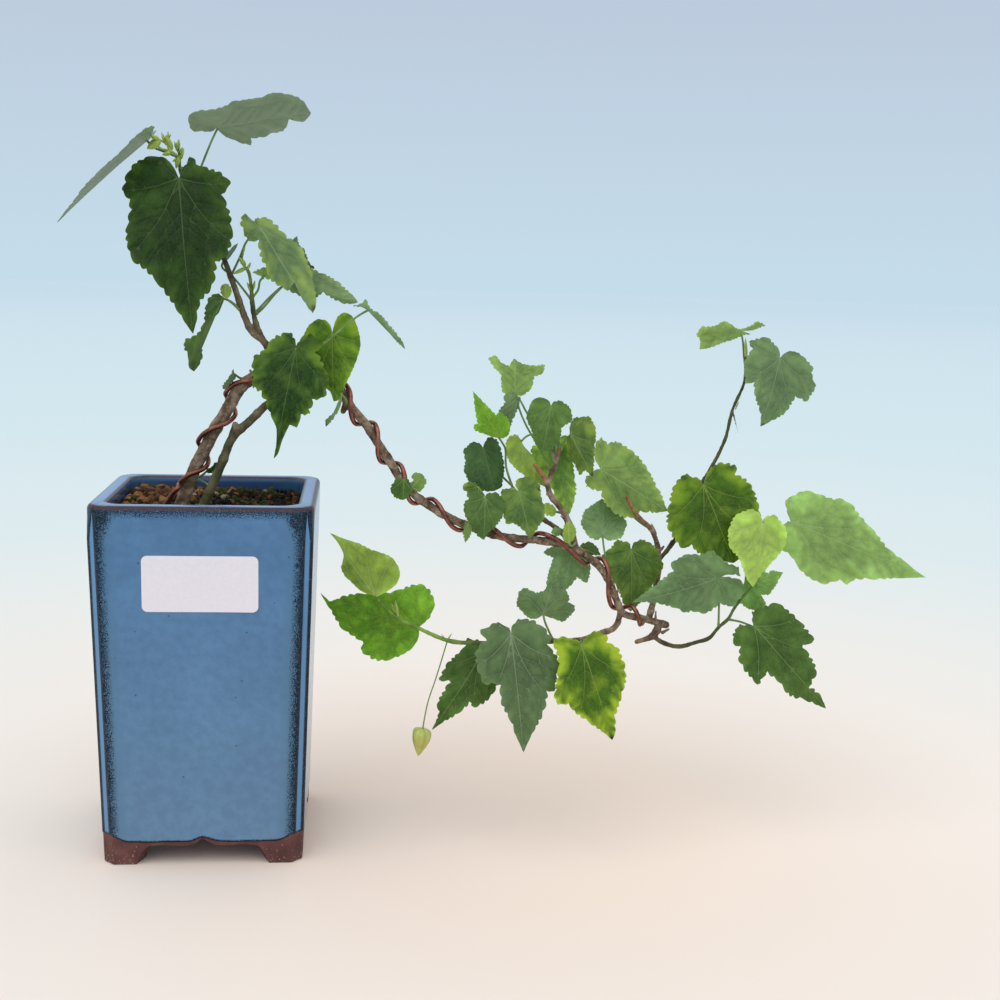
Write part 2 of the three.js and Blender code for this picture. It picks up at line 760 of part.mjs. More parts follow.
    junction: "631 550 7.5",
    tip: "630.5 611.5 8",
    left: "629 542.5, 616 539.5, 612 546, 601 556, 606 571, 617 588, 624 605",
    right: "633.5 543, 642 539, 654 546, 663.5 565, 654 582, 642 600",
    lean: [-0.05, -0.05],
    stalk: "640 554 11, 655 559 11",
  },
  {
    name: "leaf_branch_under",
    shade: GREEN,
    junction: "571 554 7",
    tip: "563 592 7",
    left: "565 546, 548 548, 543 553, 553 557.5, 547 577, 546 589",
    right: "577 546, 591 560, 589 576, 586 583, 577 577, 568 588",
    lean: [0.2, 0.2],
    stalk: "572 550 4, 572 547 0",
  },
  {
    name: "leaf_knot_yellow",
    shade: LIME,
    junction: "569 543.5 -8",
    tip: "568 521 -9",
    left: "563 541, 563 527",
    right: "573 540, 576 531, 573 524",
    lean: [0.25, 0.25],
    stalk: "571 546 -6, 575 543 -2, 574 541 -0.5",
  },
  {
    name: "leaf_knot_frilled",
    shade: GREEN,
    junction: "560 532 -4",
    tip: "551 532 -5",
    left: "561 535, 554 536.5",
    right: "561 528, 554 526.5",
    lean: [0.3, 0.3],
    stalk: "562 532.5 -1, 563 534 1.5",
  },
  {
    name: "leaf_branch_dark",
    shade: DEEP,
    junction: "580 547.5 5",
    tip: "601 555.5 6",
    left: "581 543.5, 590 541, 597 547.5",
    right: "581 551, 590 554.5",
    lean: [0.2, 0.2],
    stalk: "577 549 3, 576 549.5 0",
  },
  {
    name: "leaf_twig_pale",
    shade: LIME,
    junction: "557 512 2",
    tip: "542 506 3",
    left: "554 516.5, 546 515.5",
    right: "554 506, 547 502",
    lean: [0.2, 0.2],
    stalk: "561 513 1, 564 513 -1.5",
  },
  {
    name: "leaf_branch_hanging",
    shade: SHEEN,
    junction: "543 615 -3",
    tip: "552 585 -7",
    left: "537 618.5, 529 618, 516 605, 519 590, 525 587, 537 592",
    right: "551 618, 563 622, 574 610, 574 604, 568 602, 569 597, 562 587",
    lean: [0.3, 0.35],
    stalk: "545 622 -2, 553 640 0",
  },
  {
    name: "leaf_branch_edge",
    shade: FRESH,
    junction: "469 521 -8",
    tip: "465 542.5 -8",
    left: "466 521, 462.5 532",
    right: "471 527, 469.5 536",
    lean: [1.3, -1.3],
    stalk: "471 521 -6, 475 527 -1",
  },
  {
    name: "leaf_right_broad",
    shade: GREEN,
    junction: "703 485 -4",
    tip: "733 563 -8",
    left: "700.5 480, 685 473.5, 674 485, 669 503, 666 522, 671 535, 681 548, 690 544, 697 552, 718 560",
    right: "705.5 479, 709 469, 722 462.5, 736.5 466, 735 474.5, 746 480, 756 500, 760 522, 750 548",
    lean: [0.2, 0.2],
    stalk: "706 479 0, 708 473 3",
  },
  {
    name: "leaf_right_lime",
    shade: LIME,
    junction: "763 521 -14",
    tip: "752.5 587 -18",
    left: "758 512, 751 508.5, 735 516, 727.5 532, 729 547, 738 558, 746 578",
    right: "766 516, 776 514.5, 785.5 530, 783 546, 769 564, 758 578",
    lean: [0.2, 0.3],
    stalk: "768 531 -10, 772 549 -5, 773.5 557 -3",
  },
  {
    name: "leaf_right_largest",
    shade: FRESH,
    junction: "792 522 -4",
    tip: "926 577.5 2",
    left: "787 511, 785 500, 805 491, 829 497.5, 843 499, 860 517, 864 522, 882 543, 904 561",
    right: "787 521, 778 528, 778 548, 788 553.5, 803 573, 821 582, 837 579, 845 583.5, 849 579, 885 577.5",
    lean: [0.2, 0.2],
    stalk: "787 533 0, 778 551 -2, 774.5 557 -3",
  },
  {
    name: "leaf_right_left",
    shade: SHEEN,
    junction: "719 578 -11",
    tip: "632 602.5 -14",
    left:
      "729 577, 741 580, 742 592, 733 607.5, 719 603, 704 612, 691 610, 684 611, 672 606, 655 602, 641 601.5",
    right: "729 574.5, 741 576, 737 566, 727 563, 712 550, 698 554, 687 553, 669 562, 672 569, 650 587",
    lean: [0.2, 0.1],
    stalk: "719 590 -6, 719 604 -3, 718.5 626 0",
  },
  {
    name: "leaf_right_behind",
    shade: GREEN,
    junction: "744 584 4",
    tip: "783 572.5 6",
    left: "746 573, 757 566, 768 573, 771 569.5",
    right: "739 592, 738 602, 750 609.5, 763 610, 765 603, 760 594, 768 594.5, 776 584",
    lean: [0.22, 0.2],
    stalk: "742 588 0.5, 739 596 -1, 737 603 0.5",
  },
  {
    name: "leaf_right_lobed",
    shade: DEEP,
    junction: "754 626 -4",
    tip: "826 708.5 -6",
    left:
      "748 624, 738 625, 732 636, 735 646, 739.5 646, 739 662, 756 683.5, 764.5 671, " +
      "776 679, 787 693, 806 700",
    right:
      "751.5 618, 752 610.5, 776 602.5, 783 607, 797 619, 812 639, 801 645.5, 811 660, " +
      "815 671, 809 685, 817 691",
    lean: [0.2, 0.15],
    stalk: "741 622 -2, 729 619.5 0",
  },
  {
    name: "leaf_right_upper",
    shade: SHEEN,
    junction: "780 358 -9",
    tip: "760.5 426.5 -13",
    left: "779 350, 768 337, 757 339, 748 342, 752 349, 744 362, 744.5 384, 752 382, 754 397, 760 414",
    right: "783.5 354, 789 351.5, 801 355, 814 369, 811 372, 815 387, 804 402, 795 396, 784 412, 767 423",
    lean: [0.25, 0.2],
    stalk: "772 366 -4, 757 370 -1, 745 369 0",
  },
  {
    name: "leaf_right_top",
    shade: FRESH,
    junction: "742 331 -1",
    tip: "699.5 349 -5",
    left: "754 330, 766 325, 757 321, 746 327.5, 738 328.5, 725 321.5, 713 325.5, 701 326, 696 335, 700 340",
    right: "751 335, 742 336, 729 340, 715 345",
    lean: [-1.6, 1.6],
    stalk: "743 343 1.5, 744 357 2.2, 745 364 0.5",
  },
  {
    name: "leaf_low_tip",
    shade: LIME,
    junction: "376.6 597 -8",
    tip: "330 533 -11",
    left: "364 591, 355 584, 342 567, 344 556, 339 544",
    right: "389 590, 397 583, 400 572, 392 557, 370 548, 360 543, 345 538.5",
    lean: [0.6, 0.3],
    stalk: "379.5 601.5 -6",
  },
  {
    name: "leaf_low_wide",
    shade: GREEN,
    junction: "419 627 3",
    tip: "321 593 3",
    left: "419 637, 410 650, 386 659, 377 659, 361 650, 361.5 641, 340 624, 330 607",
    right: "430 617, 435.5 602.5, 427 587, 417 583.5, 390 591, 363 592, 345 595, 331 601",
    lean: [0.12, 0.3],
    stalk: "424 630 0, 428 632 -2.5",
  },
  {
    name: "leaf_low_behind",
    shade: GREEN,
    junction: "483 652 6",
    tip: "432 730 4",
    left: "480 640, 466 638, 465 646, 445 664, 439 679, 449 680, 438 701, 438.5 713",
    right: "492 651, 500 670, 495 688, 484 701, 473 706, 470 701, 456 713, 443 721",
    lean: [0.2, 0.2],
    stalk: "484 648 3, 485 643.5 1",
  },
  {
    name: "leaf_low_lobed",
    shade: SHEEN,
    junction: "511 634 -8",
    tip: "523.5 752.5 -13",
    left:
      "509.5 627, 496 622, 480 631, 486 639.5, 476 650, 477 666, 483 682.5, 499 683, " +
      "501 700, 509 717, 517 738",
    right:
      "512 626, 520 618, 536 622, 553 639, 547 643, 557.5 660, 553 690.5, 547 689, 543 710, " +
      "534 729, 526 746",
    lean: [0.2, 0.2],
    stalk: "511 640 -3, 512 643 2",
  },
  {
    name: "leaf_low_mottled",
    shade: YELLOWED,
    junction: "582 645 -13",
    tip: "612 740 -17",
    left: "579 641, 560 636, 552.5 641.5, 558 662, 554 697, 559 704, 567 702, 575 711, 588 721, 602 731",
    right: "585 639, 596 630, 608 636, 606 642, 617 647, 626 675, 622 690, 615 710, 614.5 732",
    lean: [0.2, 0.2],
    stalk: "582 648 -8, 581 641 -1",
  },
];

// A half blade seen edge-on takes this outline: [along the midrib, across], where 1 across is its lobe's tip.
const HEART_HALF = [
  [-0.08, 0.3],
  [-0.14, 0.65],
  [-0.02, 0.95],
  [0.1, 1],
  [0.22, 0.88],
  [0.45, 0.8],
  [0.65, 0.58],
  [0.85, 0.24],
];
const LOBE_ALONG = 0.1;

// Cuts forward-pointing teeth into each stretch between two outline points, as many as there is room for.
function toothed(points, junction, tip) {
  const out = [];
  const seenScale = tip.distanceTo(junction) / seen(tip).distanceTo(seen(junction));
  points.forEach((point, i) => {
    out.push(point);
    const next = points[i + 1];
    if (!next) return;
    const stretch = next.clone().sub(point);
    const flat = Math.hypot(stretch.x, stretch.y);
    const teeth = Math.round(flat / (TOOTH_SPACING * seenScale) + 0.2);
    const midrib = new THREE.Line3(junction, tip).closestPointToPoint(point, true, new THREE.Vector3());
    const inward = new THREE.Vector3(-stretch.y, stretch.x, 0).normalize();
    if (inward.dot(midrib.sub(point)) < 0) inward.negate();
    const bite = Math.min(TOOTH_DEPTH * seenScale, flat / 3);
    for (let k = 0; k < teeth; k++) {
      const notch = point.clone().addScaledVector(stretch, (k + TOOTH_FORWARD) / teeth);
      out.push(notch.addScaledVector(inward, bite));
      if (k + 1 < teeth) out.push(point.clone().addScaledVector(stretch, (k + 1) / teeth));
    }
  });
  return out;
}

// The outline of one side, from junction to tip, as points in space with how far along the midrib each lies.
function bladeSide(leaf, side) {
  const [junction] = trace(leaf.junction);
  const [tip] = trace(leaf.tip);
  if (leaf.lobes) {
    const [lobe] = trace(leaf.lobes[side]);
    const root = seen(junction);
    const rib = seen(tip).sub(root);
    const across = seen(lobe).sub(root).addScaledVector(rib, -LOBE_ALONG);
    return HEART_HALF.map(([along, out]) => ({
      along,
      point: root.clone().addScaledVector(rib, along).addScaledVector(across, out),
    }));
  }
  const flatRib = new THREE.Vector2(tip.x - junction.x, tip.y - junction.y);
  const levelTip = new THREE.Vector3(tip.x, tip.y, junction.z);
  const mmPerUnit = seen(levelTip).distanceTo(seen(junction)) / flatRib.length();
  return toothed(trace(side ? leaf.right : leaf.left), junction, tip).map((point) => {
    const offset = new THREE.Vector2(point.x - junction.x, point.y - junction.y);
    const along = offset.dot(flatRib) / flatRib.lengthSq();
    const across = (Math.abs(offset.cross(flatRib)) / flatRib.length()) * mmPerUnit;
    const depth = junction.z + along * (tip.z - junction.z) + across * leaf.lean[side];
    return { along, point: seen(new THREE.Vector3(point.x, point.y, depth)) };
  });
}

// A blade: both sides joined along the midrib and bowed towards the viewer, with like triangles on each face.
function blade(leaf) {
  const root = seen(trace(leaf.junction)[0]);
  const rib = seen(trace(leaf.tip)[0]).sub(root);
  const ribSteps = rib.length() > 25 ? 4 : 2;
  const bow = (along) => -BLADE_BOW * rib.length() * Math.sin(Math.PI * THREE.MathUtils.clamp(along, 0, 1));
  const vertices = [];
  const spine = [];
  for (let i = 0; i <= ribSteps; i++) {
    const along = i / ribSteps;
    spine.push({ along, id: vertices.length });
    const point = root.clone().addScaledVector(rib, along);
    point.y += bow(along);
    vertices.push(point);
  }
  const triangles = [];
  for (const side of [0, 1]) {
    const edge = bladeSide(leaf, side).map(({ along, point }) => {
      point.y += bow(along);
      vertices.push(point);
      return { along, id: vertices.length - 1 };
    });
    edge.unshift(spine[0]);
    edge.push(spine[ribSteps]);
    for (let i = edge.length - 2; i > 0; i--) {
      edge[i].along = Math.min(edge[i].along, edge[i + 1].along);
    }
    const add = (a, b, c) => {
      if (a === b || b === c || a === c) return;
      triangles.push(side ? [a, b, c] : [a, c, b]);
    };
    let at = 0;
    for (let i = 0; i + 1 < edge.length; i++) {
      add(spine[at].id, edge[i].id, edge[i + 1].id);
      const beforeTip = i + 3 === edge.length;
      while (at + 1 < ribSteps && (beforeTip || edge[i + 1].along > (at + 0.6) / ribSteps)) {
        add(spine[at].id, edge[i + 1].id, spine[at + 1].id);
        at++;
      }
    }
  }
  return solid(thickened(vertices, triangles));
}

function thickened(vertices, triangles, thickness = BLADE_THICKNESS) {
  const sheet = new THREE.BufferGeometry().setFromPoints(vertices);
  sheet.setIndex(triangles.flat());
  sheet.computeVertexNormals();
  const normals = sheet.getAttribute("normal");
  const positions = [];
  for (const face of [0.5, -0.5]) {
    vertices.forEach((vertex, i) => {
      const normal = new THREE.Vector3().fromBufferAttribute(normals, i);
      positions.push(...vertex.clone().addScaledVector(normal, face * thickness).toArray());
    });
  }
  const under = vertices.length;
  const edges = new Map();
  const index = [];
  for (const [a, b, c] of triangles) {
    index.push(a, b, c, c + under, b + under, a + under);
    for (const [from, to] of [
      [a, b],
      [b, c],
      [c, a],
    ]) {
      if (!edges.delete(`${to} ${from}`)) edges.set(`${from} ${to}`, [from, to]);
    }
  }
  for (const [from, to] of edges.values()) {
    index.push(to, from, from + under, to, from + under, to + under);
  }
  const geometry = new THREE.BufferGeometry();
  geometry.setAttribute("position", new THREE.Float32BufferAttribute(positions, 3));
  geometry.setIndex(index);
  return geometry;
}

function stalk(leaf) {
  const [junction] = trace(leaf.junction);
  const [tip] = trace(leaf.tip);
  const points = [junction.clone().lerp(tip, 0.04), ...trace(leaf.stalk)].map(seen);
  const curve = new THREE.CatmullRomCurve3(points);
  const stations = Math.max(2, Math.round(curve.getLength() / STALK_STEP));
  return tube(curve, stations, () => STALK_RADIUS, STALK_SIDES);
}

// Buds and unfolding leaflets at the shoot tips: "root, tip" and the half width of each small blade.
const CROWN_BUDS = [
  ["157 147 -3, 152 136 -6", 6],
  ["166 145 -1, 162 132 -1", 2.2],
  ["168 147 -1, 168 131 -3", 2],
  ["172 152 -2, 162 155 -4", 2.6],
];
const CROWN_STALKS = [
  "179 157 1, 173 152.5 -2, 168 147 -1, 166 140 0",
  "179 157 1, 173 152.5 -2, 160 148 -2, 156 144 -4",
];
const SHOOT_BUDS = [
  ["177 151 0.5, 179 139 -2", 2.4],
  ["179.5 161 1, 184 148 -1", 2],
  ["179 155 1, 176 169 -3", 2.6],
  ["245.5 266 -0.6, 239 257 -2", 2.4],
  ["246 268 -0.6, 233 274 -4", 2.2],
  ["251 292 0, 247 282 -1", 1.4],
  ["253 290 0, 255 280 -1", 1.4],
  ["398 618 -5, 395 600 -8", 2],
  ["396.5 614.5 -5, 391 603 -7", 1.6],
  ["746 360 0, 745.5 338 -1", 1.8],
];

// A small pointed blade, widest at its middle.
function budBlade([route, halfWidth], extra = 0) {
  const [root, tip] = trace(route);
  const rib = tip.clone().sub(root);
  const out = new THREE.Vector3(-rib.y, rib.x, 0).normalize();
  const middle = root.clone().addScaledVector(rib, 0.45);
  tip.addScaledVector(rib, extra / 3);
  const side = (sign) => {
    const edge = middle.clone().addScaledVector(out, sign * (halfWidth + 3 * extra));
    return seen(edge.setZ(edge.z + 1));
  };
  const front = seen(middle.clone().setZ(middle.z - 0.8));
  const vertices = [seen(root), side(1), seen(tip), side(-1), front];
  const triangles = [
    [0, 1, 4],
    [1, 2, 4],
    [2, 3, 4],
    [3, 0, 4],
  ];
  return solid(thickened(vertices, triangles, BLADE_THICKNESS + 2 * extra));
}

function youngStalk(route) {
  const curve = new THREE.CatmullRomCurve3(trace(route).map(seen));
  return tube(curve, 3, () => STALK_RADIUS, STALK_SIDES);
}

// Flower bud: a ribbed lantern hanging by its neck on a long thread-like stalk.
const BUD_STALK = "447 642 -1, 444 652 -1, 436 678 -2, 428 702 -3, 423.5 722 -3, 422 732 -3";
const BUD_NECK = "422 727 -3";
const BUD_LEAN = 0.12;

function makeBud() {
  const profile = [
    [0, 0.6],
    [0.45, 0.9],
    [0.85, 0.2],
    [1, -1.2],
    [0.94, -4.2],
    [0.68, -7.6],
    [0.34, -10.6],
    [0, -13],
  ].map(([out, z]) => new THREE.Vector2(out * BUD_RADIUS, z));
  const geometry = new THREE.LatheGeometry(profile.reverse(), 3 * BUD_RIBS);
  geometry.rotateX(Math.PI / 2);
  const position = geometry.getAttribute("position");
  for (let i = 0; i < position.count; i++) {
    const turn = Math.atan2(position.getY(i), position.getX(i));
    const swell = 1 + 0.09 * Math.cos(BUD_RIBS * turn);
    position.setXY(i, position.getX(i) * swell, position.getY(i) * swell);
  }
  geometry.rotateY(BUD_LEAN);
  geometry.translate(...seen(trace(BUD_NECK)[0]).toArray());
  const thread = new THREE.CatmullRomCurve3(trace(BUD_STALK).map(seen));
  return solid(geometry).add(tube(thread, 8, () => STALK_RADIUS * 0.8, STALK_SIDES));
}

const wire = wireCurve();
const wireStations = Math.round(wire.getLength() / WIRE_STEP);
const wireTube = (extra) => tube(wire, wireStations, () => WIRE_RADIUS + extra, WIRE_SIDES, extra);
const grownStems = (extra) =>
  joined([...STEMS.map((stem) => stemTube(stem, extra)), ...SHOOT_BUDS.map((bud) => budBlade(bud, extra))]);

const stems = grownStems(0);
const room = grownStems(CLEARANCE).add(wireTube(CLEARANCE));

addPart("pot", makePot(), "#5c82ad", 0.25);
addPart("soil", makeSoil().subtract(room), "#6b4a33", 0.95);
addPart("label_blank", makeLabel(), "#f2f1ee", 0.6);
addPart("wood", stems, "#6f6252", 0.8);
addPart("training_wire", wireTube(0), "#a2604f", 0.35, 0.85);

for (const leaf of LEAVES) {
  const grown = [leaf, leaf.extra].filter(Boolean).flatMap((piece) => [blade(piece), stalk(piece)]);
  addPart(leaf.name, largest(joined(grown).subtract(room)), leaf.shade, 0.55);
}
const crownBuds = joined([...CROWN_BUDS.map((bud) => budBlade(bud)), ...CROWN_STALKS.map(youngStalk)]);
addPart("crown_buds", largest(crownBuds.subtract(room)), LIME, 0.55);
addPart("flower_bud", largest(makeBud().subtract(room)), "#cfd48a", 0.5);

// The origin is the middle of the underside of the whole plant and pot.
const size = new THREE.Box3().setFromObject(plant);
const middle = size.getCenter(new THREE.Vector3());
plant.position.set(-middle.x, -middle.y, -size.min.z);

const group = new THREE.Group();
group.add(plant);

export default group;
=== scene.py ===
import math
import random

import bmesh
import bpy
import numpy as np
from mathutils import Matrix, Vector, noise
from mathutils.geometry import delaunay_2d_cdt
from mathutils.kdtree import KDTree


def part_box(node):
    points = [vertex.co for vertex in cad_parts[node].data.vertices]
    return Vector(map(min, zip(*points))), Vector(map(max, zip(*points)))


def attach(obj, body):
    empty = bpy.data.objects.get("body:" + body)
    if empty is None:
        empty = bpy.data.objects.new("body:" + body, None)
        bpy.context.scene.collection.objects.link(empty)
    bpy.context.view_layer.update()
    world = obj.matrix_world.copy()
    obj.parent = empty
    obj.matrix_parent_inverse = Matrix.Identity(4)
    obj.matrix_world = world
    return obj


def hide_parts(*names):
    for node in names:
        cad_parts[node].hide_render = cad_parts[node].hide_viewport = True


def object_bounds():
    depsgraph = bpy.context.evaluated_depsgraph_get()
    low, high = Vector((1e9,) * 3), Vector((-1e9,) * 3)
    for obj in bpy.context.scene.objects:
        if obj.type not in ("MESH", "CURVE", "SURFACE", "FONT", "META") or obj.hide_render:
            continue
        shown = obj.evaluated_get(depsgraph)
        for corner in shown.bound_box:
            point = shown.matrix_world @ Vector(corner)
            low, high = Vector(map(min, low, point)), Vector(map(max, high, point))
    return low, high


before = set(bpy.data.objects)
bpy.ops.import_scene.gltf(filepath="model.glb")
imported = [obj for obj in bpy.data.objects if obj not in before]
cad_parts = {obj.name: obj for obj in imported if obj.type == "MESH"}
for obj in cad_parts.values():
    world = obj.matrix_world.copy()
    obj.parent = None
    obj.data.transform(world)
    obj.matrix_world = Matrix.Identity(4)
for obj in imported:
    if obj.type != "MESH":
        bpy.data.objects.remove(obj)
cad_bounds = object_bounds()

# Viewpoint. The plant was set out as it is seen from one place in front of the pot, so every stem and leaf
# below is a line of "across down depth": across and down in a square view 1000 wide, and depth in mm,
# negative towards the viewer. The camera stands at that same place.
VIEW_WIDTH = 1000
VIEW_FOCAL = 1440
SENSOR_MM = 36
VIEW_EYE = Vector((68.43, -667.73, 270.46))
VIEW_TURN = math.radians(-5.643)
VIEW_DIP = math.radians(9.296)
VIEW_ROLL = math.radians(1.58)
# The branch swings towards the viewer and back. Above a level, branch and crown lean back, and below it the
# branch leans forward.
SWING_START = 300
SWING_LENGTH = 360
BRANCH_SWING = 13
BRANCH_FROM, BRANCH_TO, BRANCH_LEVEL = 340, 560, 545
BRANCH_LEAN = 0.13
CROWN_FROM, CROWN_TO, CROWN_LEVEL = 280, 380, 360
CROWN_LEAN = 0.05
MM_PER_M = 1000

pot_low, pot_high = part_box("pot")
POT_PLACE = Vector(
    ((pot_low.x + pot_high.x) / 2 * MM_PER_M, (pot_low.y + pot_high.y) / 2 * MM_PER_M, 0)
)
ahead = Vector(
    (-math.sin(VIEW_TURN) * math.cos(VIEW_DIP), math.cos(VIEW_TURN) * math.cos(VIEW_DIP), -math.sin(VIEW_DIP))
)
level = Vector((math.cos(VIEW_TURN), math.sin(VIEW_TURN), 0))
view_right = Matrix.Rotation(-VIEW_ROLL, 3, ahead) @ level
view_up = view_right.cross(ahead)


def clamp(x, low=0.0, high=1.0):
    return max(low, min(high, x))


def ease(x, low, high):
    t = clamp((x - low) / (high - low))
    return t * t * (3 - 2 * t)


def swing(across, down):
    """How far the plant stands back there, in mm."""
    along_branch = (clamp(across, SWING_START, VIEW_WIDTH) - SWING_START) / SWING_LENGTH
    return (
        ease(across, BRANCH_FROM, BRANCH_TO) * BRANCH_LEAN * (BRANCH_LEVEL - down)
        - BRANCH_SWING * math.sin(math.pi * along_branch)
        + (1 - ease(across, CROWN_FROM, CROWN_TO)) * CROWN_LEAN * max(0, CROWN_LEVEL - down)
    )


def seen(across, down, drawn_depth):
    """The point in metres that is seen there."""
    depth = drawn_depth + swing(across, down)
    ray = (
        ahead
        + view_right * ((across - VIEW_WIDTH / 2) / VIEW_FOCAL)
        + view_up * ((VIEW_WIDTH / 2 - down) / VIEW_FOCAL)
    )
    point = VIEW_EYE + ray * ((depth - VIEW_EYE.y) / ray.y)
    return (point + POT_PLACE) / MM_PER_M


def trace(text):
    """The points of a line written as "across down depth, ..."."""
    points = [[float(n) for n in point.split()] for point in text.split(",")]
    return [Vector((p + [0.0])[:3]) for p in points]


camera_data = bpy.data.cameras.new("camera")
camera_data.sensor_width = SENSOR_MM
camera_data.lens = SENSOR_MM * VIEW_FOCAL / VIEW_WIDTH
camera_data.clip_start = 0.01
camera_data.clip_end = 100
camera = bpy.data.objects.new("camera", camera_data)
eye = (VIEW_EYE + POT_PLACE) / MM_PER_M
camera.matrix_world = Matrix(
    (
        (view_right.x, view_up.x, -ahead.x, eye.x),
        (view_right.y, view_up.y, -ahead.y, eye.y),
        (view_right.z, view_up.z, -ahead.z, eye.z),
        (0, 0, 0, 1),
    )
)
bpy.context.scene.collection.objects.link(camera)
bpy.context.scene.camera = camera

# Pot. Moulded stoneware, 98 mm square at the rim, with cut corners and four short feet. It is dipped in
# blue glaze, which breaks dark along every edge and stops on a line above the bare red-brown feet.
POT_HEIGHT = 164
POT_TOP = 98
POT_BASE = 89
POT_WALL = 7.5
POT_CUT = 4.7
POT_SOFT = 1.4
CUT_BULGE = 0.2
# The cut corners melt into round ones between these heights.
MELT_FROM, MELT_TO = 148, 161
RIM_CUT = 5.9
RIM_SOFT = 9.5
RIM_ROUND = 2.4
LIP_ROUND = 1.3
INNER_CUT = 5.4
INNER_SOFT = 7
# An edge turns by 45 degrees: how far its rounding reaches, how much an inset shortens the cut, and the
# widest rounding that a cut has room for.
ROUND_REACH = 0.414
INSET_SHORTENS = 0.586
ROUND_LIMIT = 1.65
# Half the width of a rounded edge, where the glaze breaks.
EDGE_HALF = 0.4
FOOT_HEIGHT = 8.5
FOOT_EDGE = 30.5
FOOT_SLOPE = 6.3
FOOT_CURVE = 1.6
APRON_DEPTH = 8
APRON_CUSP = 3.6
CUSP_REACH = 9
APRON_WAVE = 0.7
WAVE_PLACE, WAVE_WIDTH = 18, 4
FLOOR_BELOW = 14
FLOOR_ABOVE = 20
DRAIN_RADIUS = 7
GLAZE_LINE = 10.7
GLAZE_THICK = 0.3
# The glaze line rises over the cusp and towards the corners, and wanders a little.
GLAZE_PEAK, PEAK_WIDTH = 2.1, 4.2
GLAZE_RISE, RISE_FROM, CORNER_PLACE = 3.4, 33, 42
GLAZE_WANDER = 0.35

COLOURS = {"data_type": "RGBA"}
TIMES = {"operation": "MULTIPLY"}
SCALED = {"operation": "SCALE"}


def linear(text):
    """An sRGB hex colour as linear RGBA."""
    parts = [int(text[i : i + 2], 16) / 255 for i in (1, 3, 5)]
    return [c / 12.92 if c <= 0.04045 else ((c + 0.055) / 1.055) ** 2.4 for c in parts] + [1.0]


def node(tree, kind, settings=None, inputs=None, out=0):
    """Adds a node with its settings and its values or links, and returns one of its outputs."""
    new = tree.nodes.new("ShaderNode" + kind)
    for key, value in (settings or {}).items():
        if key != "stops":
            setattr(new, key, value)
            continue
        elements = new.color_ramp.elements
        while len(elements) < len(value):
            elements.new(0.5)
        for element, (position, colour) in zip(elements, value):
            element.position = position
            element.color = linear(colour)
    for key, value in (inputs or {}).items():
        if isinstance(value, bpy.types.NodeSocket):
            tree.links.new(value, new.inputs[key])
        else:
            new.inputs[key].default_value = value
    return new.outputs[out]


def new_material(name):
    """A material with one Principled surface: its tree, that surface and the output node."""
    material = bpy.data.materials.new(name)
    material.use_nodes = True
    tree = material.node_tree
    tree.nodes.clear()
    surface = node(tree, "BsdfPrincipled").node
    out = tree.nodes.new("ShaderNodeOutputMaterial")
    tree.links.new(surface.outputs[0], out.inputs["Surface"])
    return material, tree, surface, out


def build(name, vertices, faces, materials, face_material=None, marks=None, sharp=None):
    """Makes a piece from points in metres: its mesh, materials, point attributes and smooth shading."""
    mesh = bpy.data.meshes.new(name)
    mesh.from_pydata([tuple(v) for v in vertices], [], faces)
    for material in materials:
        mesh.materials.append(material)
    if face_material is not None:
        mesh.polygons.foreach_set("material_index", face_material)
    for key, values in (marks or {}).items():
        mesh.attributes.new(key, "FLOAT", "POINT").data.foreach_set("value", np.asarray(values, np.float32))
    mesh.shade_smooth()
    if sharp is not None:
        mesh.set_sharp_from_angle(angle=math.radians(sharp))
    mesh.update()
    piece = bpy.data.objects.new(name, mesh)
    bpy.context.scene.collection.objects.link(piece)
    return piece


def pot_half(z):
    """Half the pot's width at a height."""
    return (POT_BASE + (POT_TOP - POT_BASE) * z / POT_HEIGHT) / 2


# Places round the pot, one side at a time: on the flat, round the first edge, over the cut corner, and round
# the second edge.
half_flat = [0, 0.5, 1.2, 2, 3, 4, 5.5, 7, 9, 12, 15, 18, 21, 24.2, 25.5, 27, 28.3, 29.3, 30, 30.5, 31.2, 33]
half_flat += [35, 36.6, 37.8, 38.8, 39.5, 40.1]
flat_end = half_flat[-1]
flats = [-x for x in half_flat[:0:-1]] + half_flat
corners = [("a", 0.33), ("a", 0.67), ("cut", 0), ("cut", 0.25), ("cut", 0.5), ("cut", 0.75), ("cut", 1)]
corners += [("b", 0.33), ("b", 0.67)]
stations = [(turn, kind, v) for turn in range(4) for kind, v in [("flat", x) for x in flats] + corners]


def pot_point(station, half, cut, soft):
    """A place round the pot, for its half width there, the size of the cut and the radius of its edges."""
    turn, kind, v = station
    tangent = ROUND_REACH * soft
    first = Vector((half - cut, -half))
    second = Vector((half, cut - half))
    slope = Vector((1, 1)).normalized()
    if kind == "flat":
        p = Vector((v / flat_end * (half - cut - tangent), -half))
    elif kind == "cut":
        p = (first + slope * tangent).lerp(second - slope * tangent, v)
        p += Vector((-1, 1)).normalized() * CUT_BULGE * math.sin(math.pi * v)
    else:
        edge = first if kind == "a" else second
        before = Vector((-1, 0)) if kind == "a" else -slope
        after = slope if kind == "a" else Vector((0, 1))
        near = (edge + before * tangent).lerp(edge, v)
        p = near.lerp(edge.lerp(edge + after * tangent, v), v)
    return Matrix.Rotation(turn * math.pi / 2, 2) @ p


def edge_distance(station):
    """How far a place lies from the nearest upright edge: below 0 on the cut corner."""
    _, kind, v = station
    if kind == "flat":
        return flat_end + EDGE_HALF - abs(v)
    if kind == "cut":
        return -EDGE_HALF - 4 * v * (1 - v)
    return EDGE_HALF - 2 * EDGE_HALF * v if kind == "a" else 2 * EDGE_HALF * v - EDGE_HALF


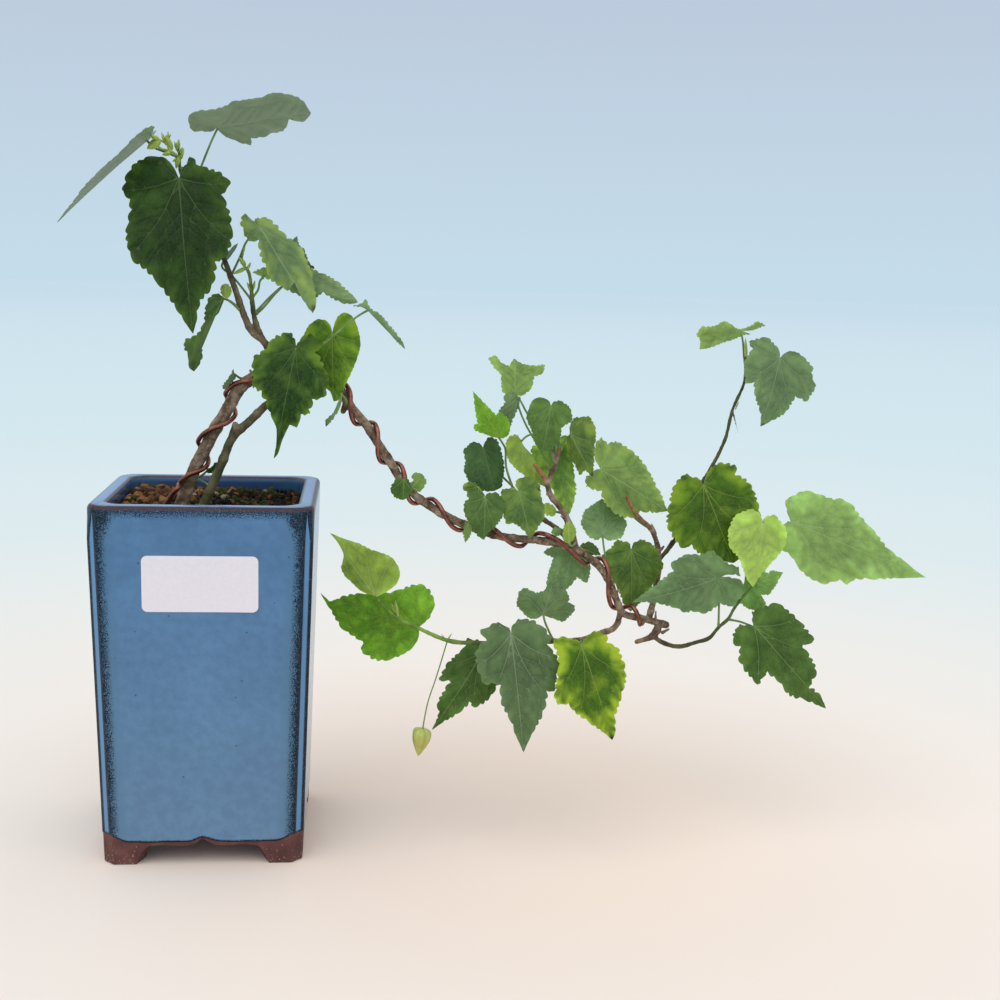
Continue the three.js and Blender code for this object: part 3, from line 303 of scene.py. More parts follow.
def foot_arch(station):
    """Height of the wall's lower edge: feet at the corners, a low arch and a cusp in the middle."""
    _, kind, x = station
    inward = FOOT_EDGE - abs(x) if kind == "flat" else 0
    if inward <= 0:
        return 0
    arch = FOOT_HEIGHT * (1 - (1 - min(inward / FOOT_SLOPE, 1)) ** FOOT_CURVE)
    wave = APRON_WAVE * math.exp(-(((abs(x) - WAVE_PLACE) / WAVE_WIDTH) ** 2))
    return arch + wave + APRON_CUSP * max(0, 1 - abs(x) / CUSP_REACH) ** 2


def glaze_line(station):
    """Height of the glaze's lower edge."""
    turn, kind, x = station
    x = x if kind == "flat" else CORNER_PLACE
    rise = GLAZE_RISE * ease(abs(x), RISE_FROM, CORNER_PLACE)
    wander = GLAZE_WANDER * noise.noise(Vector((x * 0.11, turn * 7.3, 0)))
    return GLAZE_LINE + GLAZE_PEAK * math.exp(-((x / PEAK_WIDTH) ** 2)) + rise + wander


def pot_ring(inset, height, cut=None, soft=None):
    """One line round the pot, at a height or at a function's height for each place."""
    points = []
    for station in stations:
        z = height(station) if callable(height) else height
        top = ease(z, MELT_FROM, MELT_TO)
        corner = cut or max(0.3, POT_CUT + (RIM_CUT - POT_CUT) * top - INSET_SHORTENS * inset)
        round_off = soft or POT_SOFT + (RIM_SOFT - POT_SOFT) * top
        p = pot_point(station, pot_half(z) - inset, corner, min(round_off, ROUND_LIMIT * corner))
        points.append(Vector((p.x, p.y, z)))
    return points


def drain_ring(z):
    """One line round the drain hole."""
    directions = [p.xy.normalized() * DRAIN_RADIUS for p in pot_ring(0, z)]
    return [Vector((d.x, d.y, z)) for d in directions]


pot_rings = [
    pot_ring(GLAZE_THICK + 0.5, foot_arch),
    pot_ring(GLAZE_THICK, lambda s: foot_arch(s) + 0.5),
    pot_ring(GLAZE_THICK, lambda s: max(foot_arch(s) + 0.5, (foot_arch(s) + glaze_line(s)) / 2)),
    pot_ring(GLAZE_THICK, lambda s: glaze_line(s) - 0.15),
    pot_ring(0.12, lambda s: glaze_line(s) - 0.05),
    pot_ring(-0.05, lambda s: glaze_line(s) + 0.35),
    pot_ring(0, lambda s: glaze_line(s) + 1.3),
]
clay_rings = 3
pot_rings += [pot_ring(0, z) for z in (20, 26, 34, 44, 56, 70, 84, 98, 112, 124, 134, 142, 149, 154, 158)]
first_rim_ring = len(pot_rings)
rim_turns = [math.radians(a) for a in (0, 18, 36, 54, 72, 90)]
for a in rim_turns:
    pot_rings.append(pot_ring(RIM_ROUND * (1 - math.cos(a)), POT_HEIGHT - RIM_ROUND * (1 - math.sin(a))))
pot_rings.append(pot_ring(4.3, POT_HEIGHT + 0.1))
for a in rim_turns[:-1]:
    inset = POT_WALL - LIP_ROUND * (1 - math.sin(a))
    lip = POT_HEIGHT - LIP_ROUND * (1 - math.cos(a))
    pot_rings.append(pot_ring(inset, lip, cut=INNER_CUT, soft=INNER_SOFT))
pot_rings += [pot_ring(POT_WALL, z, cut=INNER_CUT, soft=INNER_SOFT) for z in (162.4, 158, 152)]
inner_clay = len(pot_rings) - 1
pot_rings += [pot_ring(POT_WALL, z, cut=INNER_CUT, soft=INNER_SOFT) for z in (120, 60, FLOOR_ABOVE)]
pot_rings += [drain_ring(FLOOR_ABOVE), drain_ring(FLOOR_BELOW)]
pot_rings += [
    pot_ring(APRON_DEPTH + 1, FLOOR_BELOW, cut=1),
    pot_ring(APRON_DEPTH, lambda s: max(foot_arch(s) + 0.4, FLOOR_BELOW - 1), cut=1),
    pot_ring(APRON_DEPTH, lambda s: foot_arch(s) + 0.4, cut=1),
    pot_ring(APRON_DEPTH - 0.5, foot_arch, cut=1),
]

# run_mm is how far a place lies along the wall from the middle of the rim's outer edge: negative down the
# outside, positive over the rim and into the pot. edge_mm is how far it lies from an upright edge, and
# line_mm how far above the glaze line.
middle_station = len(flats) // 2
run = [0.0]
for a, b in zip(pot_rings, pot_rings[1:]):
    run.append(run[-1] + (a[middle_station] - b[middle_station]).length)
rim_ring = first_rim_ring + 2
rim_run = (run[rim_ring] + run[rim_ring + 1]) / 2
lip_run = run[rim_ring + 5] - rim_run + 1
vertices, faces, face_material = [], [], []
edge_mm, run_mm, line_mm = [], [], []
for i, points in enumerate(pot_rings):
    vertices += [(p + POT_PLACE) / MM_PER_M for p in points]
    edge_mm += [clamp(edge_distance(s), -2, 12) for s in stations]
    run_mm += [clamp(run[i] - rim_run, -60, 30)] * len(stations)
    line_mm += [clamp(p.z - glaze_line(s), -5, 30) for p, s in zip(points, stations)]
count = len(stations)
for i in range(len(pot_rings)):
    for k in range(count):
        a, b = i * count + k, i * count + (k + 1) % count
        up = ((i + 1) % len(pot_rings)) * count
        faces.append((a, b, up + (k + 1) % count, up + k))
        face_material.append(0 if clay_rings <= i < inner_clay else 1)

# Blue glaze: a glassy stoneware glaze, dipped. Light blue where it lies thick, brown-black where it breaks.
glaze, tree, surface, _ = new_material("dipped_blue_glaze")
place = node(tree, "TexCoord", out="Object")
height = node(tree, "SeparateXYZ", None, {0: place}, "Z")
edge = node(tree, "Attribute", {"attribute_name": "edge_mm"}, None, "Fac")
along = node(tree, "Attribute", {"attribute_name": "run_mm"}, None, "Fac")
above = node(tree, "Attribute", {"attribute_name": "line_mm"}, None, "Fac")
# Pools about 30 mm across, streaks of about 4 mm, and speckle of about 0.4 mm where the glaze thins.
pools = node(tree, "TexNoise", None, {"Vector": place, "Scale": 33, "Detail": 3})
streak = node(tree, "TexNoise", None, {"Vector": place, "Scale": 260, "Detail": 3})
speck = node(tree, "TexNoise", None, {"Vector": place, "Scale": 2300, "Detail": 3})
stops = [(0.3, "#466f97"), (0.5, "#4b759e"), (0.7, "#527da6")]
field = node(tree, "ValToRGB", {"stops": stops}, {0: pools})
low = node(tree, "MapRange", None, {0: height, 1: 0.012, 2: 0.13, 3: 0.7, 4: 0.0})
field = node(tree, "Mix", COLOURS, {0: low, 6: field, 7: linear("#6286a4")}, 2)
cloud = node(tree, "MapRange", None, {0: streak, 1: 0.35, 2: 0.65, 3: 0.93, 4: 1.07})
field = node(tree, "VectorMath", SCALED, {0: field, 3: cloud})
# The cut corners and the upper face of the rim are lighter: partly more glaze, partly painted highlight
# where they catch the light.
cut_corner_glaze_and_highlight = node(tree, "MapRange", None, {0: edge, 1: -0.9, 2: -1.25, 3: 0.0, 4: 0.9})
field = node(tree, "Mix", COLOURS, {0: cut_corner_glaze_and_highlight, 6: field, 7: linear("#5587b3")}, 2)
rim_top_glaze_and_highlight = node(tree, "MapRange", None, {0: along, 1: 0.4, 2: 2.4, 3: 0.0, 4: 0.9})
field = node(tree, "Mix", COLOURS, {0: rim_top_glaze_and_highlight, 6: field, 7: linear("#6390c4")}, 2)
# Inside the pot, past the lip, the glaze is painted darker: painted shade within the rim.
painted_inner_shade = node(tree, "MapRange", None, {0: along, 1: 7.0, 2: 9.5, 3: 0.0, 4: 0.9})
field = node(tree, "Mix", COLOURS, {0: painted_inner_shade, 6: field, 7: linear("#2b4268")}, 2)


def break_band(tree, distance, full, gone, speckle, grain, hardness):
    """1 where the glaze breaks: whole up to one distance in mm, speckled away by the next."""
    fade = node(tree, "MapRange", None, {0: distance, 1: full, 2: gone, 3: 1.0, 4: 0.0})
    spread = node(tree, "MapRange", {"clamp": False}, {0: speckle, 3: -grain, 4: grain})
    total = node(tree, "Math", None, {0: fade, 1: spread})
    half = 0.5 - 0.5 * hardness
    band = node(tree, "MapRange", None, {0: total, 1: 0.5 - half, 2: 0.5 + half})
    last = node(tree, "MapRange", None, {0: fade, 2: 0.3})
    return node(tree, "Math", TIMES, {0: band, 1: last})


past_edge = node(tree, "MapRange", None, {0: edge, 1: -1.22, 2: -1.0})
outside = node(tree, "MapRange", None, {0: along, 1: 1.4, 2: 0.4})
teal = break_band(tree, edge, 1.5, 8.5, streak, 0.5, 0.2)
teal = node(tree, "Math", TIMES, {0: teal, 1: past_edge})
teal = node(tree, "Math", TIMES, {0: teal, 1: 0.4})
field = node(tree, "Mix", COLOURS, {0: teal, 6: field, 7: linear("#3d6b80")}, 2)
upright = break_band(tree, edge, -0.5, 4.1, speck, 1.8, 0.35)
upright = node(tree, "Math", TIMES, {0: upright, 1: past_edge})
upright = node(tree, "Math", TIMES, {0: upright, 1: outside})
below_rim = node(tree, "Math", TIMES, {0: along, 1: -1.0})
shower = break_band(tree, below_rim, 0.2, 5.6, speck, 1.7, 0.35)
shower = node(tree, "Math", TIMES, {0: shower, 1: outside})
foot_run = break_band(tree, above, 0.3, 1.3, speck, 0.8, 0.3)
dark = node(tree, "Math", {"operation": "MAXIMUM"}, {0: upright, 1: shower})
dark = node(tree, "Math", {"operation": "MAXIMUM"}, {0: dark, 1: foot_run})
stops = [(0.35, "#0a121e"), (0.52, "#0f1826"), (0.62, "#171a28"), (0.74, "#271f27")]
dark_tone = node(tree, "ValToRGB", {"stops": stops}, {0: streak})
colour = node(tree, "Mix", COLOURS, {0: dark, 6: field, 7: dark_tone}, 2)
rim_off = node(tree, "Math", {"operation": "ABSOLUTE"}, {0: along})
rim_band = break_band(tree, rim_off, 0.5, 1.9, speck, 0.9, 0.4)
lip_off = node(tree, "Math", {"operation": "SUBTRACT"}, {0: along, 1: lip_run})
lip_off = node(tree, "Math", {"operation": "ABSOLUTE"}, {0: lip_off})
lip_band = break_band(tree, lip_off, 0.3, 1.6, speck, 0.8, 0.4)
bands = node(tree, "Math", {"operation": "MAXIMUM"}, {0: rim_band, 1: lip_band})
stops = [(0.3, "#251d27"), (0.5, "#3d2f37"), (0.66, "#5d4c4e"), (0.8, "#938684")]
band_tone = node(tree, "ValToRGB", {"stops": stops}, {0: speck})
colour = node(tree, "Mix", COLOURS, {0: bands, 6: colour, 7: band_tone}, 2)
# Iron specks and pinholes of under 1 mm, a few on each face.
spots = node(tree, "TexVoronoi", None, {"Vector": place, "Scale": 120})
spot = node(tree, "MapRange", None, {0: spots, 1: 0.04, 2: 0.07, 3: 0.7, 4: 0.0})
stops = [(0.0, "#24364e"), (0.45, "#2d4258"), (0.75, "#3a2f36"), (0.93, "#7b95b0")]
spot_tone = node(tree, "ValToRGB", {"stops": stops}, {0: spots.node.outputs["Color"]})
colour = node(tree, "Mix", COLOURS, {0: spot, 6: colour, 7: spot_tone}, 2)
tree.links.new(colour, surface.inputs["Base Color"])
breaks = node(tree, "Math", {"operation": "MAXIMUM"}, {0: dark, 1: bands})
gloss = node(tree, "MapRange", None, {0: breaks, 3: 0.16, 4: 0.3})
tree.links.new(gloss, surface.inputs["Roughness"])
shine = node(tree, "MapRange", None, {0: dark, 3: 0.5, 4: 0.15})
tree.links.new(shine, surface.inputs["Specular IOR Level"])
surface.inputs["IOR"].default_value = 1.5
skin = node(tree, "TexNoise", None, {"Vector": place, "Scale": 170, "Detail": 2})
skin = node(tree, "Math", None, {0: skin, 1: spot})
bump = node(tree, "Bump", None, {"Height": skin, "Strength": 0.22, "Distance": 0.0002})
tree.links.new(bump, surface.inputs["Normal"])

# Bare clay: iron-bearing stoneware, fired unglazed. Matt, dark red-brown, with fine pale grit.
clay, tree, surface, _ = new_material("fired_red_clay")
place = node(tree, "TexCoord", out="Object")
cloud = node(tree, "TexNoise", None, {"Vector": place, "Scale": 90, "Detail": 4})
grit = node(tree, "TexNoise", None, {"Vector": place, "Scale": 1300, "Detail": 1})
stops = [(0.3, "#49292a"), (0.5, "#5d342f"), (0.72, "#74483f")]
tone = node(tree, "ValToRGB", {"stops": stops}, {0: cloud})
height = node(tree, "SeparateXYZ", None, {0: place}, "Z")
chips = node(tree, "MapRange", None, {0: height, 1: 0.0, 2: 0.006, 3: 0.1, 4: 0.0})
grit_on = node(tree, "Math", None, {0: grit, 1: chips})
grit_on = node(tree, "MapRange", None, {0: grit_on, 1: 0.7, 2: 0.76, 3: 0.0, 4: 0.7})
tone = node(tree, "Mix", COLOURS, {0: grit_on, 6: tone, 7: linear("#b09a90")}, 2)
tree.links.new(tone, surface.inputs["Base Color"])
surface.inputs["Roughness"].default_value = 0.7
bump = node(tree, "Bump", None, {"Height": grit, "Strength": 0.4, "Distance": 0.0002})
tree.links.new(bump, surface.inputs["Normal"])

pot_marks = {"edge_mm": edge_mm, "run_mm": run_mm, "line_mm": line_mm}
pot = build("glazed_pot", vertices, faces, [glaze, clay], face_material, pot_marks, sharp=40)
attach(pot, "root")
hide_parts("pot")

# Label. A blank white sticker of coated paper, 50 by 25 mm with rounded corners. It is pressed onto the
# pot's front and lifts a little at one corner.
LABEL_WIDTH = 50
LABEL_HEIGHT = 25
LABEL_CORNER = 2.5
LABEL_CORNER_STEPS = 6
LABEL_PAPER = 0.16
LABEL_CENTRE_Z = 130
LABEL_LIFT = 0.05
LABEL_COLUMNS = 30
LABEL_CURL = 0.35
CURL_FROM, CURL_TO = 1.3, 2


def grid_faces(columns, rows):
    """The faces of a grid of points that is laid row by row."""
    row = columns + 1
    firsts = [j * row + i for j in range(rows) for i in range(columns)]
    return [(a, a + 1, a + row + 1, a + row) for a in firsts]


def grid_border(columns, rows):
    """The points round the edge of such a grid, in order."""
    row = columns + 1
    border = list(range(row)) + [j * row + columns for j in range(1, rows + 1)]
    border += [rows * row + i for i in range(columns - 1, -1, -1)]
    return border + [j * row for j in range(rows - 1, 0, -1)]


lean = math.atan2((POT_TOP - POT_BASE) / 2, POT_HEIGHT)
straight = LABEL_HEIGHT / 2 - LABEL_CORNER
label_rows = [(h * straight, LABEL_WIDTH / 2) for h in (-0.75, -0.5, -0.25, 0, 0.25, 0.5, 0.75)]
for k in range(LABEL_CORNER_STEPS + 1):
    turn = math.pi / 2 * k / LABEL_CORNER_STEPS
    w = LABEL_WIDTH / 2 - LABEL_CORNER * (1 - math.cos(turn))
    h = straight + LABEL_CORNER * math.sin(turn)
    label_rows = [(-h, w)] + label_rows + [(h, w)]
vertices, faces = [], []
for face in (0, 1):
    for h, w in label_rows:
        for column in range(LABEL_COLUMNS + 1):
            x = (2 * column / LABEL_COLUMNS - 1) * w
            # The paper follows the glaze and lifts at its lower right corner.
            curl = LABEL_CURL * ease(2 * x / LABEL_WIDTH - 2 * h / LABEL_HEIGHT, CURL_FROM, CURL_TO)
            out = LABEL_LIFT + curl + (LABEL_PAPER if face else 0)
            y = -pot_half(LABEL_CENTRE_Z) - h * math.sin(lean) - out * math.cos(lean)
            z = LABEL_CENTRE_Z + h * math.cos(lean) - out * math.sin(lean)
            vertices.append((Vector((x, y, z)) + POT_PLACE) / MM_PER_M)
sheet = (LABEL_COLUMNS + 1) * len(label_rows)
for a, b, c, d in grid_faces(LABEL_COLUMNS, len(label_rows) - 1):
    faces.append((a + sheet, b + sheet, c + sheet, d + sheet))
    faces.append((a, d, c, b))
border = grid_border(LABEL_COLUMNS, len(label_rows) - 1)
for a, b in zip(border, border[1:] + border[:1]):
    faces.append((a, b, b + sheet, a + sheet))

# Coated label paper: bleached fibre under a thin satin coat. Off-white and even, with a faint mottle.
paper, tree, surface, _ = new_material("coated_label_paper")
place = node(tree, "TexCoord", out="Object")
fibre = node(tree, "TexNoise", None, {"Vector": place, "Scale": 700, "Detail": 3})
stops = [(0.3, "#e8dfe5"), (0.7, "#ece4e9")]
tone = node(tree, "ValToRGB", {"stops": stops}, {0: fibre})
tree.links.new(tone, surface.inputs["Base Color"])
surface.inputs["Roughness"].default_value = 0.48
bump = node(tree, "Bump", None, {"Height": fibre, "Strength": 0.03, "Distance": 0.0001})
tree.links.new(bump, surface.inputs["Normal"])

label = build("blank_label", vertices, faces, [paper], sharp=50)
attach(label, "root")
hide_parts("label_blank")

# Wood. Two thin trunks tied into one, a second stem behind them, the arch, the branch that hangs and its
# twigs, all one grown piece. Old wood is grey-brown and knobbly with pale breathing pores, and it runs out
# into green young shoots.

# MAIN_LINE is the trunk, arch and branch that the wire follows. Each stem is its route, its radius at the
# root and the tip, and how young it is there: 0 is bark, 1 is green and -1 is bare cut wood.
MAIN_LINE = (
    "176 516 2, 187 490 1, 194 470 1, 204.5 450 0, 214.5 430 0, 227 410 0, 240 388 0, 253 377 0, 275 367 0, "
    "300 368 0, 325 378 0, 343 393 0, 349 404 0, 367 426 0, 378 443 0, 392 465 0, 400 478 0, 416 496 0, "
    "433 508 0, 454 520 0, 491 534 0, 511 538 0, 536 540 0, 570 547 0, 596 563 0, 609 581 0, 616 599 0, "
    "625 611 0, 641 617.5 0, 665 625 0"
)
STEMS = [
    (
        "168 526 2, 184.6 489 1, 191.6 469 0.8, 202.2 448.8 0, 212.3 428.8 0, 224.8 408.8 0, "
        "237.8 386.8 0, 252 376 0",
        (1.75, 1.7),
        (0.05, 0.0),
    ),
    (
        "176 526 2, 189.4 491 1.2, 196.4 471 1.2, 206.8 451.2 0.4, 216.7 431.2 0.4, 229.2 411.2 0.4, "
        "242.2 389.2 0.2, 256 377.5 0",
        (1.75, 1.7),
        (0.1, 0.0),
    ),
    ("243 384 0, 253 377 0, 275 367 0, 300 368 0, 325 378 0, 343 393 0, 349 404 0", (1.9, 2.05), (0.0, 0.0)),
    (
        "190 530 -4, 206 499 -3, 214.5 480 -2.5, 223.5 459 -2, 230.5 441 -1.5, 238 431.5 -1, "
        "251 420 0, 267 404.5 1, 292 388.5 1, 322 379 0",
        (2.3, 1.6),
        (0.45, 0.1),
    ),
    ("232 438 -1, 235.5 423.5 -1", (1.9, 1.3), (0.2, 0.1)),
    (
        "343 393 0, 349 404 0, 367 426 0, 378 443 0, 392 465 0, 400 478 0, 416 496 0, 433 508 0, 454 520 0, "
        "491 534 0, 511 538 0, 536 540 0, 570 547 0, 596 563 0, 609 581 0, 616 599 0, 623 613 0, "
        "641 618 0, 667 625 0",
        (2.05, 1.6),
        (0.0, 0.0),
    ),
    ("347 402 0, 343 412 -2", (1.9, 1.3), (0.0, 0.0)),
    ("659 624 0, 656 632 0, 651 637 0", (1.8, 1.7), (0.0, 0.0)),
    ("652 637 0, 636 642 0", (1.5, 0.9), (0.0, 0.0)),
    (
        "652 636 0, 664 643 0, 678 646.5 0, 697 642 0, 709 638 0, 719 627 0, 728 619 0, 735 607 0, "
        "754 584 -1, 774 556 -3",
        (1.15, 0.5),
        (0.3, 1.2),
    ),
    (
        "575 549 0, 572 534 -1, 566 517 -2, 559 506 -2, 550 494 -2, 546 481 -3, 534.5 464.5 -6",
        (1.9, 1.0),
        (0.0, -1.3),
    ),
    ("547 484 -3, 552 472 -3, 556 462 -3, 559.5 448 -3", (1.3, 0.9), (0.0, -1.2)),
    ("555 463 -3, 551 449.5 -1", (1.0, 0.8), (0.0, 0.0)),
    ("574 548 0, 560 531 2, 543 519 3, 528 507 3, 512 487 3", (1.4, 0.7), (0.1, 0.6)),
    (
        "648 620 0, 651 611 3, 655 590 11, 659 565 11, 656.5 542 6, 651 529 2, 636 514 -3, 626.7 496.7 -6",
        (1.6, 0.9),
        (0.0, -1.35),
    ),
    (
        "658 561 10.5, 675.6 539 8, 690 503 6, 711 468 3, 725 439.5 0, 732.5 410 -1, 744.5 381 0, "
        "745.4 357 0",
        (1.05, 0.68),
        (0.3, 0.62),
    ),
    (
        "621 610 0, 617 624 -1, 612 629.5 -1, 604.4 631.8 -1, 580 640 0, 553 641 0, 515 643 2, "
        "480 643 1, 450 641 -1, 419.5 628.7 -3, 398 618 -5, 379 601 -6",
        (1.4, 0.8),
        (0.05, 1.4),
    ),
    (
        "277 369 0, 265 343 0, 251 330 0, 234 286 -1, 224 259 0, 208 225 2, 190 195 3, 180.5 172 2, "
        "179 153 1, 175 145 0",
        (1.8, 0.6),
        (0.1, 0.9),
    ),
    (
        "268 348 0, 262 338 0, 255 320 0, 252 300 0, 251 285 0, 248.5 272 0, 242 262 -1, 243 252 -1",
        (1.5, 0.5),
        (0.2, 1.2),
    ),
]
# Short snags, spurs and leaf scars: route, radius at root and tip.
SPURS = [
    ("614 596 0, 619 590 -3", (0.9, 0.5)),
    ("655 622 -1, 656 611 -3", (0.8, 0.35)),
    ("600 566 -1, 602 573 -2.6", (1.0, 0.6)),
    ("553 497 -2, 547 494 -4.5", (1.2, 0.7)),
    ("566 519 -2, 561 516 -4", (0.8, 0.5)),
    ("662 633 0, 669 629 -2", (0.9, 0.45)),
    ("646 618 -1, 642 625 -2.8", (0.9, 0.6)),
    ("235 400 -1, 229 396 -2", (1.0, 0.6)),
    ("243 389 0, 236 382 -1", (1.2, 0.7)),
    ("254 378 0, 250 370 -1", (1.1, 0.5)),
    ("659 552 8, 664 546 6", (0.8, 0.5)),
    ("656 534 4, 651 522 1", (0.6, 0.25)),
    ("672 541 8, 667 548 8", (0.7, 0.4)),
    ("733 412 -1, 738 433 -2", (0.45, 0.15)),
    ("268 346 0, 273 339 -1", (0.8, 0.45)),
    ("232 281 -1, 228 276 -2", (0.6, 0.3)),
]
STEM_STEP = 0.0009
STEM_SIDES = 14
SPUR_SIDES = 10
STEM_WOBBLE = 0.07
JOINT_SPACING = 0.013
JOINT_SWELL = 0.16
JOINT_WIDTH = 0.0013
BARK_VOXEL = 0.00038
BARK_RELIEF = 0.00022
PORE_RELIEF = 0.00012
# Bark splits along the stem, so its relief is drawn out four times that way.
BARK_STRETCH = 0.75
FISSURES_PER_MM = 1.1
LUMPS_PER_M = 420
PORES_PER_M = 1050
BARK_SEED = 41
CURVE_STEPS = 24


def smooth_line(points, step):
    """Evenly spaced points on the smooth curve through the given ones."""
    points = [Vector(p) for p in points]
    through = [2 * points[0] - points[1]] + points + [2 * points[-1] - points[-2]]
    fine = []
    for p0, p1, p2, p3 in zip(through, through[1:], through[2:], through[3:]):
        d0, d1, d2 = [max((b - a).length, 1e-9) ** 0.5 for a, b in ((p0, p1), (p1, p2), (p2, p3))]
        t1 = ((p1 - p0) / d0 - (p2 - p0) / (d0 + d1) + (p2 - p1) / d1) * d1
        t2 = ((p2 - p1) / d1 - (p3 - p1) / (d1 + d2) + (p3 - p2) / d2) * d1
        for k in range(CURVE_STEPS):
            u = k / CURVE_STEPS
            square = (3 * p2 - 3 * p1 - 2 * t1 - t2) * u**2
            cube = (2 * p1 - 2 * p2 + t1 + t2) * u**3
            fine.append(p1 + t1 * u + square + cube)
    fine = np.array([tuple(p) for p in fine + [points[-1]]])
    lengths = np.concatenate([[0], np.cumsum(np.linalg.norm(np.diff(fine, axis=0), axis=1))])
    count = max(2, round(lengths[-1] / step))
    at = np.linspace(0, lengths[-1], count + 1)
    return [Vector(p) for p in np.stack([np.interp(at, lengths, fine[:, k]) for k in range(3)], axis=1)]


def tube(path, radii, sides, vertices, faces):
    """Adds a round tube with domed ends along a path of points to the lists."""
    tangents = [(b - a).normalized() for a, b in zip(path, path[1:])]
    tangents = [tangents[0]] + [(a + b).normalized() for a, b in zip(tangents, tangents[1:])] + [tangents[-1]]
    out = tangents[0].orthogonal().normalized()
    rings = []
    for i, (centre, tangent, radius) in enumerate(zip(path, tangents, radii)):
        out = (out - tangent * out.dot(tangent)).normalized()
        if i in (0, len(path) - 1):
            sign = -1 if i == 0 else 1
            dome = [(centre + tangent * sign * radius * 0.6, out, tangent, radius * 0.55)]
            plain = [(centre, out, tangent, radius)]
            rings += dome + plain if i == 0 else plain + dome
        else:
            rings.append((centre, out, tangent, radius))
    start = len(vertices)
    for centre, side, tangent, radius in rings:
        other = tangent.cross(side)
        for k in range(sides):
            turn = 2 * math.pi * k / sides
            vertices.append(centre + (side * math.cos(turn) + other * math.sin(turn)) * radius)
    for i in range(len(rings) - 1):
        for k in range(sides):
            a, b = start + i * sides + k, start + i * sides + (k + 1) % sides
            faces.append((a, b, b + sides, a + sides))
    faces.append(tuple(start + k for k in range(sides - 1, -1, -1)))
    last = start + (len(rings) - 1) * sides
    faces.append(tuple(last + k for k in range(sides)))


vertices, faces = [], []
grown = []
dice = random.Random(BARK_SEED)
for number, (route, (root, tip), (old, young)) in enumerate(STEMS):
    path = smooth_line([seen(*p) for p in trace(route)], STEM_STEP)
    length = len(path) * STEM_STEP
    joints = []
    at = dice.uniform(0.3, 1) * JOINT_SPACING
    while at < length:
        joints.append(at)
        at += JOINT_SPACING * dice.uniform(0.6, 1.3) * (0.6 + 0.4 * root / 2)
    radii = []
    for i, centre in enumerate(path):
        t = i / (len(path) - 1)
        swell = sum(math.exp(-(((i * STEM_STEP - j) / JOINT_WIDTH) ** 2)) for j in joints)
        wobble = noise.noise(centre * 180 + Vector((number, 0, 0)))
        uneven = 1 + JOINT_SWELL * min(swell, 1) + STEM_WOBBLE * wobble
        radii.append((root + (tip - root) * t) / MM_PER_M * uneven)
        heading = (path[min(i + 1, len(path) - 1)] - path[max(i - 1, 0)]).normalized()
        grown.append((centre, heading, old + (young - old) * t**1.5, radii[-1]))
    tube(path, radii, STEM_SIDES, vertices, faces)
for route, (root, tip) in SPURS:
    path = smooth_line([seen(*p) for p in trace(route)], STEM_STEP / 2)
    tube(path, np.linspace(root, tip, len(path)) / MM_PER_M, SPUR_SIDES, vertices, faces)

rough = build("bark_cage", vertices, faces, [])
melt = rough.modifiers.new("melt", "REMESH")
melt.mode = "VOXEL"
melt.voxel_size = BARK_VOXEL
soft = rough.modifiers.new("soft", "SMOOTH")
soft.factor = 0.5
soft.iterations = 3
melted = bpy.data.meshes.new_from_object(rough.evaluated_get(bpy.context.evaluated_depsgraph_get()))
bpy.data.objects.remove(rough)

count = len(melted.vertices)
points = np.zeros(count * 3)
normals = np.zeros(count * 3)
melted.vertices.foreach_get("co", points)
melted.vertices.foreach_get("normal", normals)
points = points.reshape(-1, 3)
normals = normals.reshape(-1, 3)
tree_of_stems = KDTree(len(grown))
for i, (centre, _, _, _) in enumerate(grown):
    tree_of_stems.insert(centre, i)
tree_of_stems.balance()
youth, relief, pores = np.zeros(count), np.zeros(count), np.zeros(count)
for i in range(count):
    p = Vector(points[i])
    _, nearest, _ = tree_of_stems.find(p)
    _, tangent, young, radius = grown[nearest]
    youth[i] = clamp(young, -1, 1)
    squeezed = (p - tangent * p.dot(tangent) * BARK_STRETCH) * MM_PER_M
    fissure = 1 - abs(noise.noise(squeezed * FISSURES_PER_MM)) * 2
    lump = noise.noise(p * LUMPS_PER_M)
    pore = noise.noise(p * PORES_PER_M + Vector((7, 3, 1)))
    pores[i] = ease(pore, 0.34, 0.5)
    relief[i] = 0.65 * fissure + 0.8 * lump
    green = max(0, youth[i])
    rise = BARK_RELIEF * (1 - 0.75 * green) * (relief[i] - 0.2) + PORE_RELIEF * pores[i] * (1 - 0.5 * green)
    points[i] += normals[i] * rise
melted.vertices.foreach_set("co", points.ravel())

# Bark and green stem: thin grey-brown bark with pale raised pores over old wood, and a downy green skin over
# this year's growth. Both are matt.
bark, tree, surface, _ = new_material("maple_bark")
place = node(tree, "TexCoord", out="Object")
young = node(tree, "Attribute", {"attribute_name": "youth"}, None, "Fac")
raised = node(tree, "Attribute", {"attribute_name": "relief"}, None, "Fac")
pore = node(tree, "Attribute", {"attribute_name": "pores"}, None, "Fac")
# Bark patches of about 5 mm and grain of about 0.6 mm.
patch = node(tree, "TexNoise", None, {"Vector": place, "Scale": 190, "Detail": 5})
fine = node(tree, "TexNoise", None, {"Vector": place, "Scale": 1600, "Detail": 3})
stops = [(0.28, "#4a392c"), (0.42, "#705b47"), (0.55, "#907a65"), (0.66, "#ab9a84"), (0.8, "#7a705f")]
old_tone = node(tree, "ValToRGB", {"stops": stops}, {0: patch})
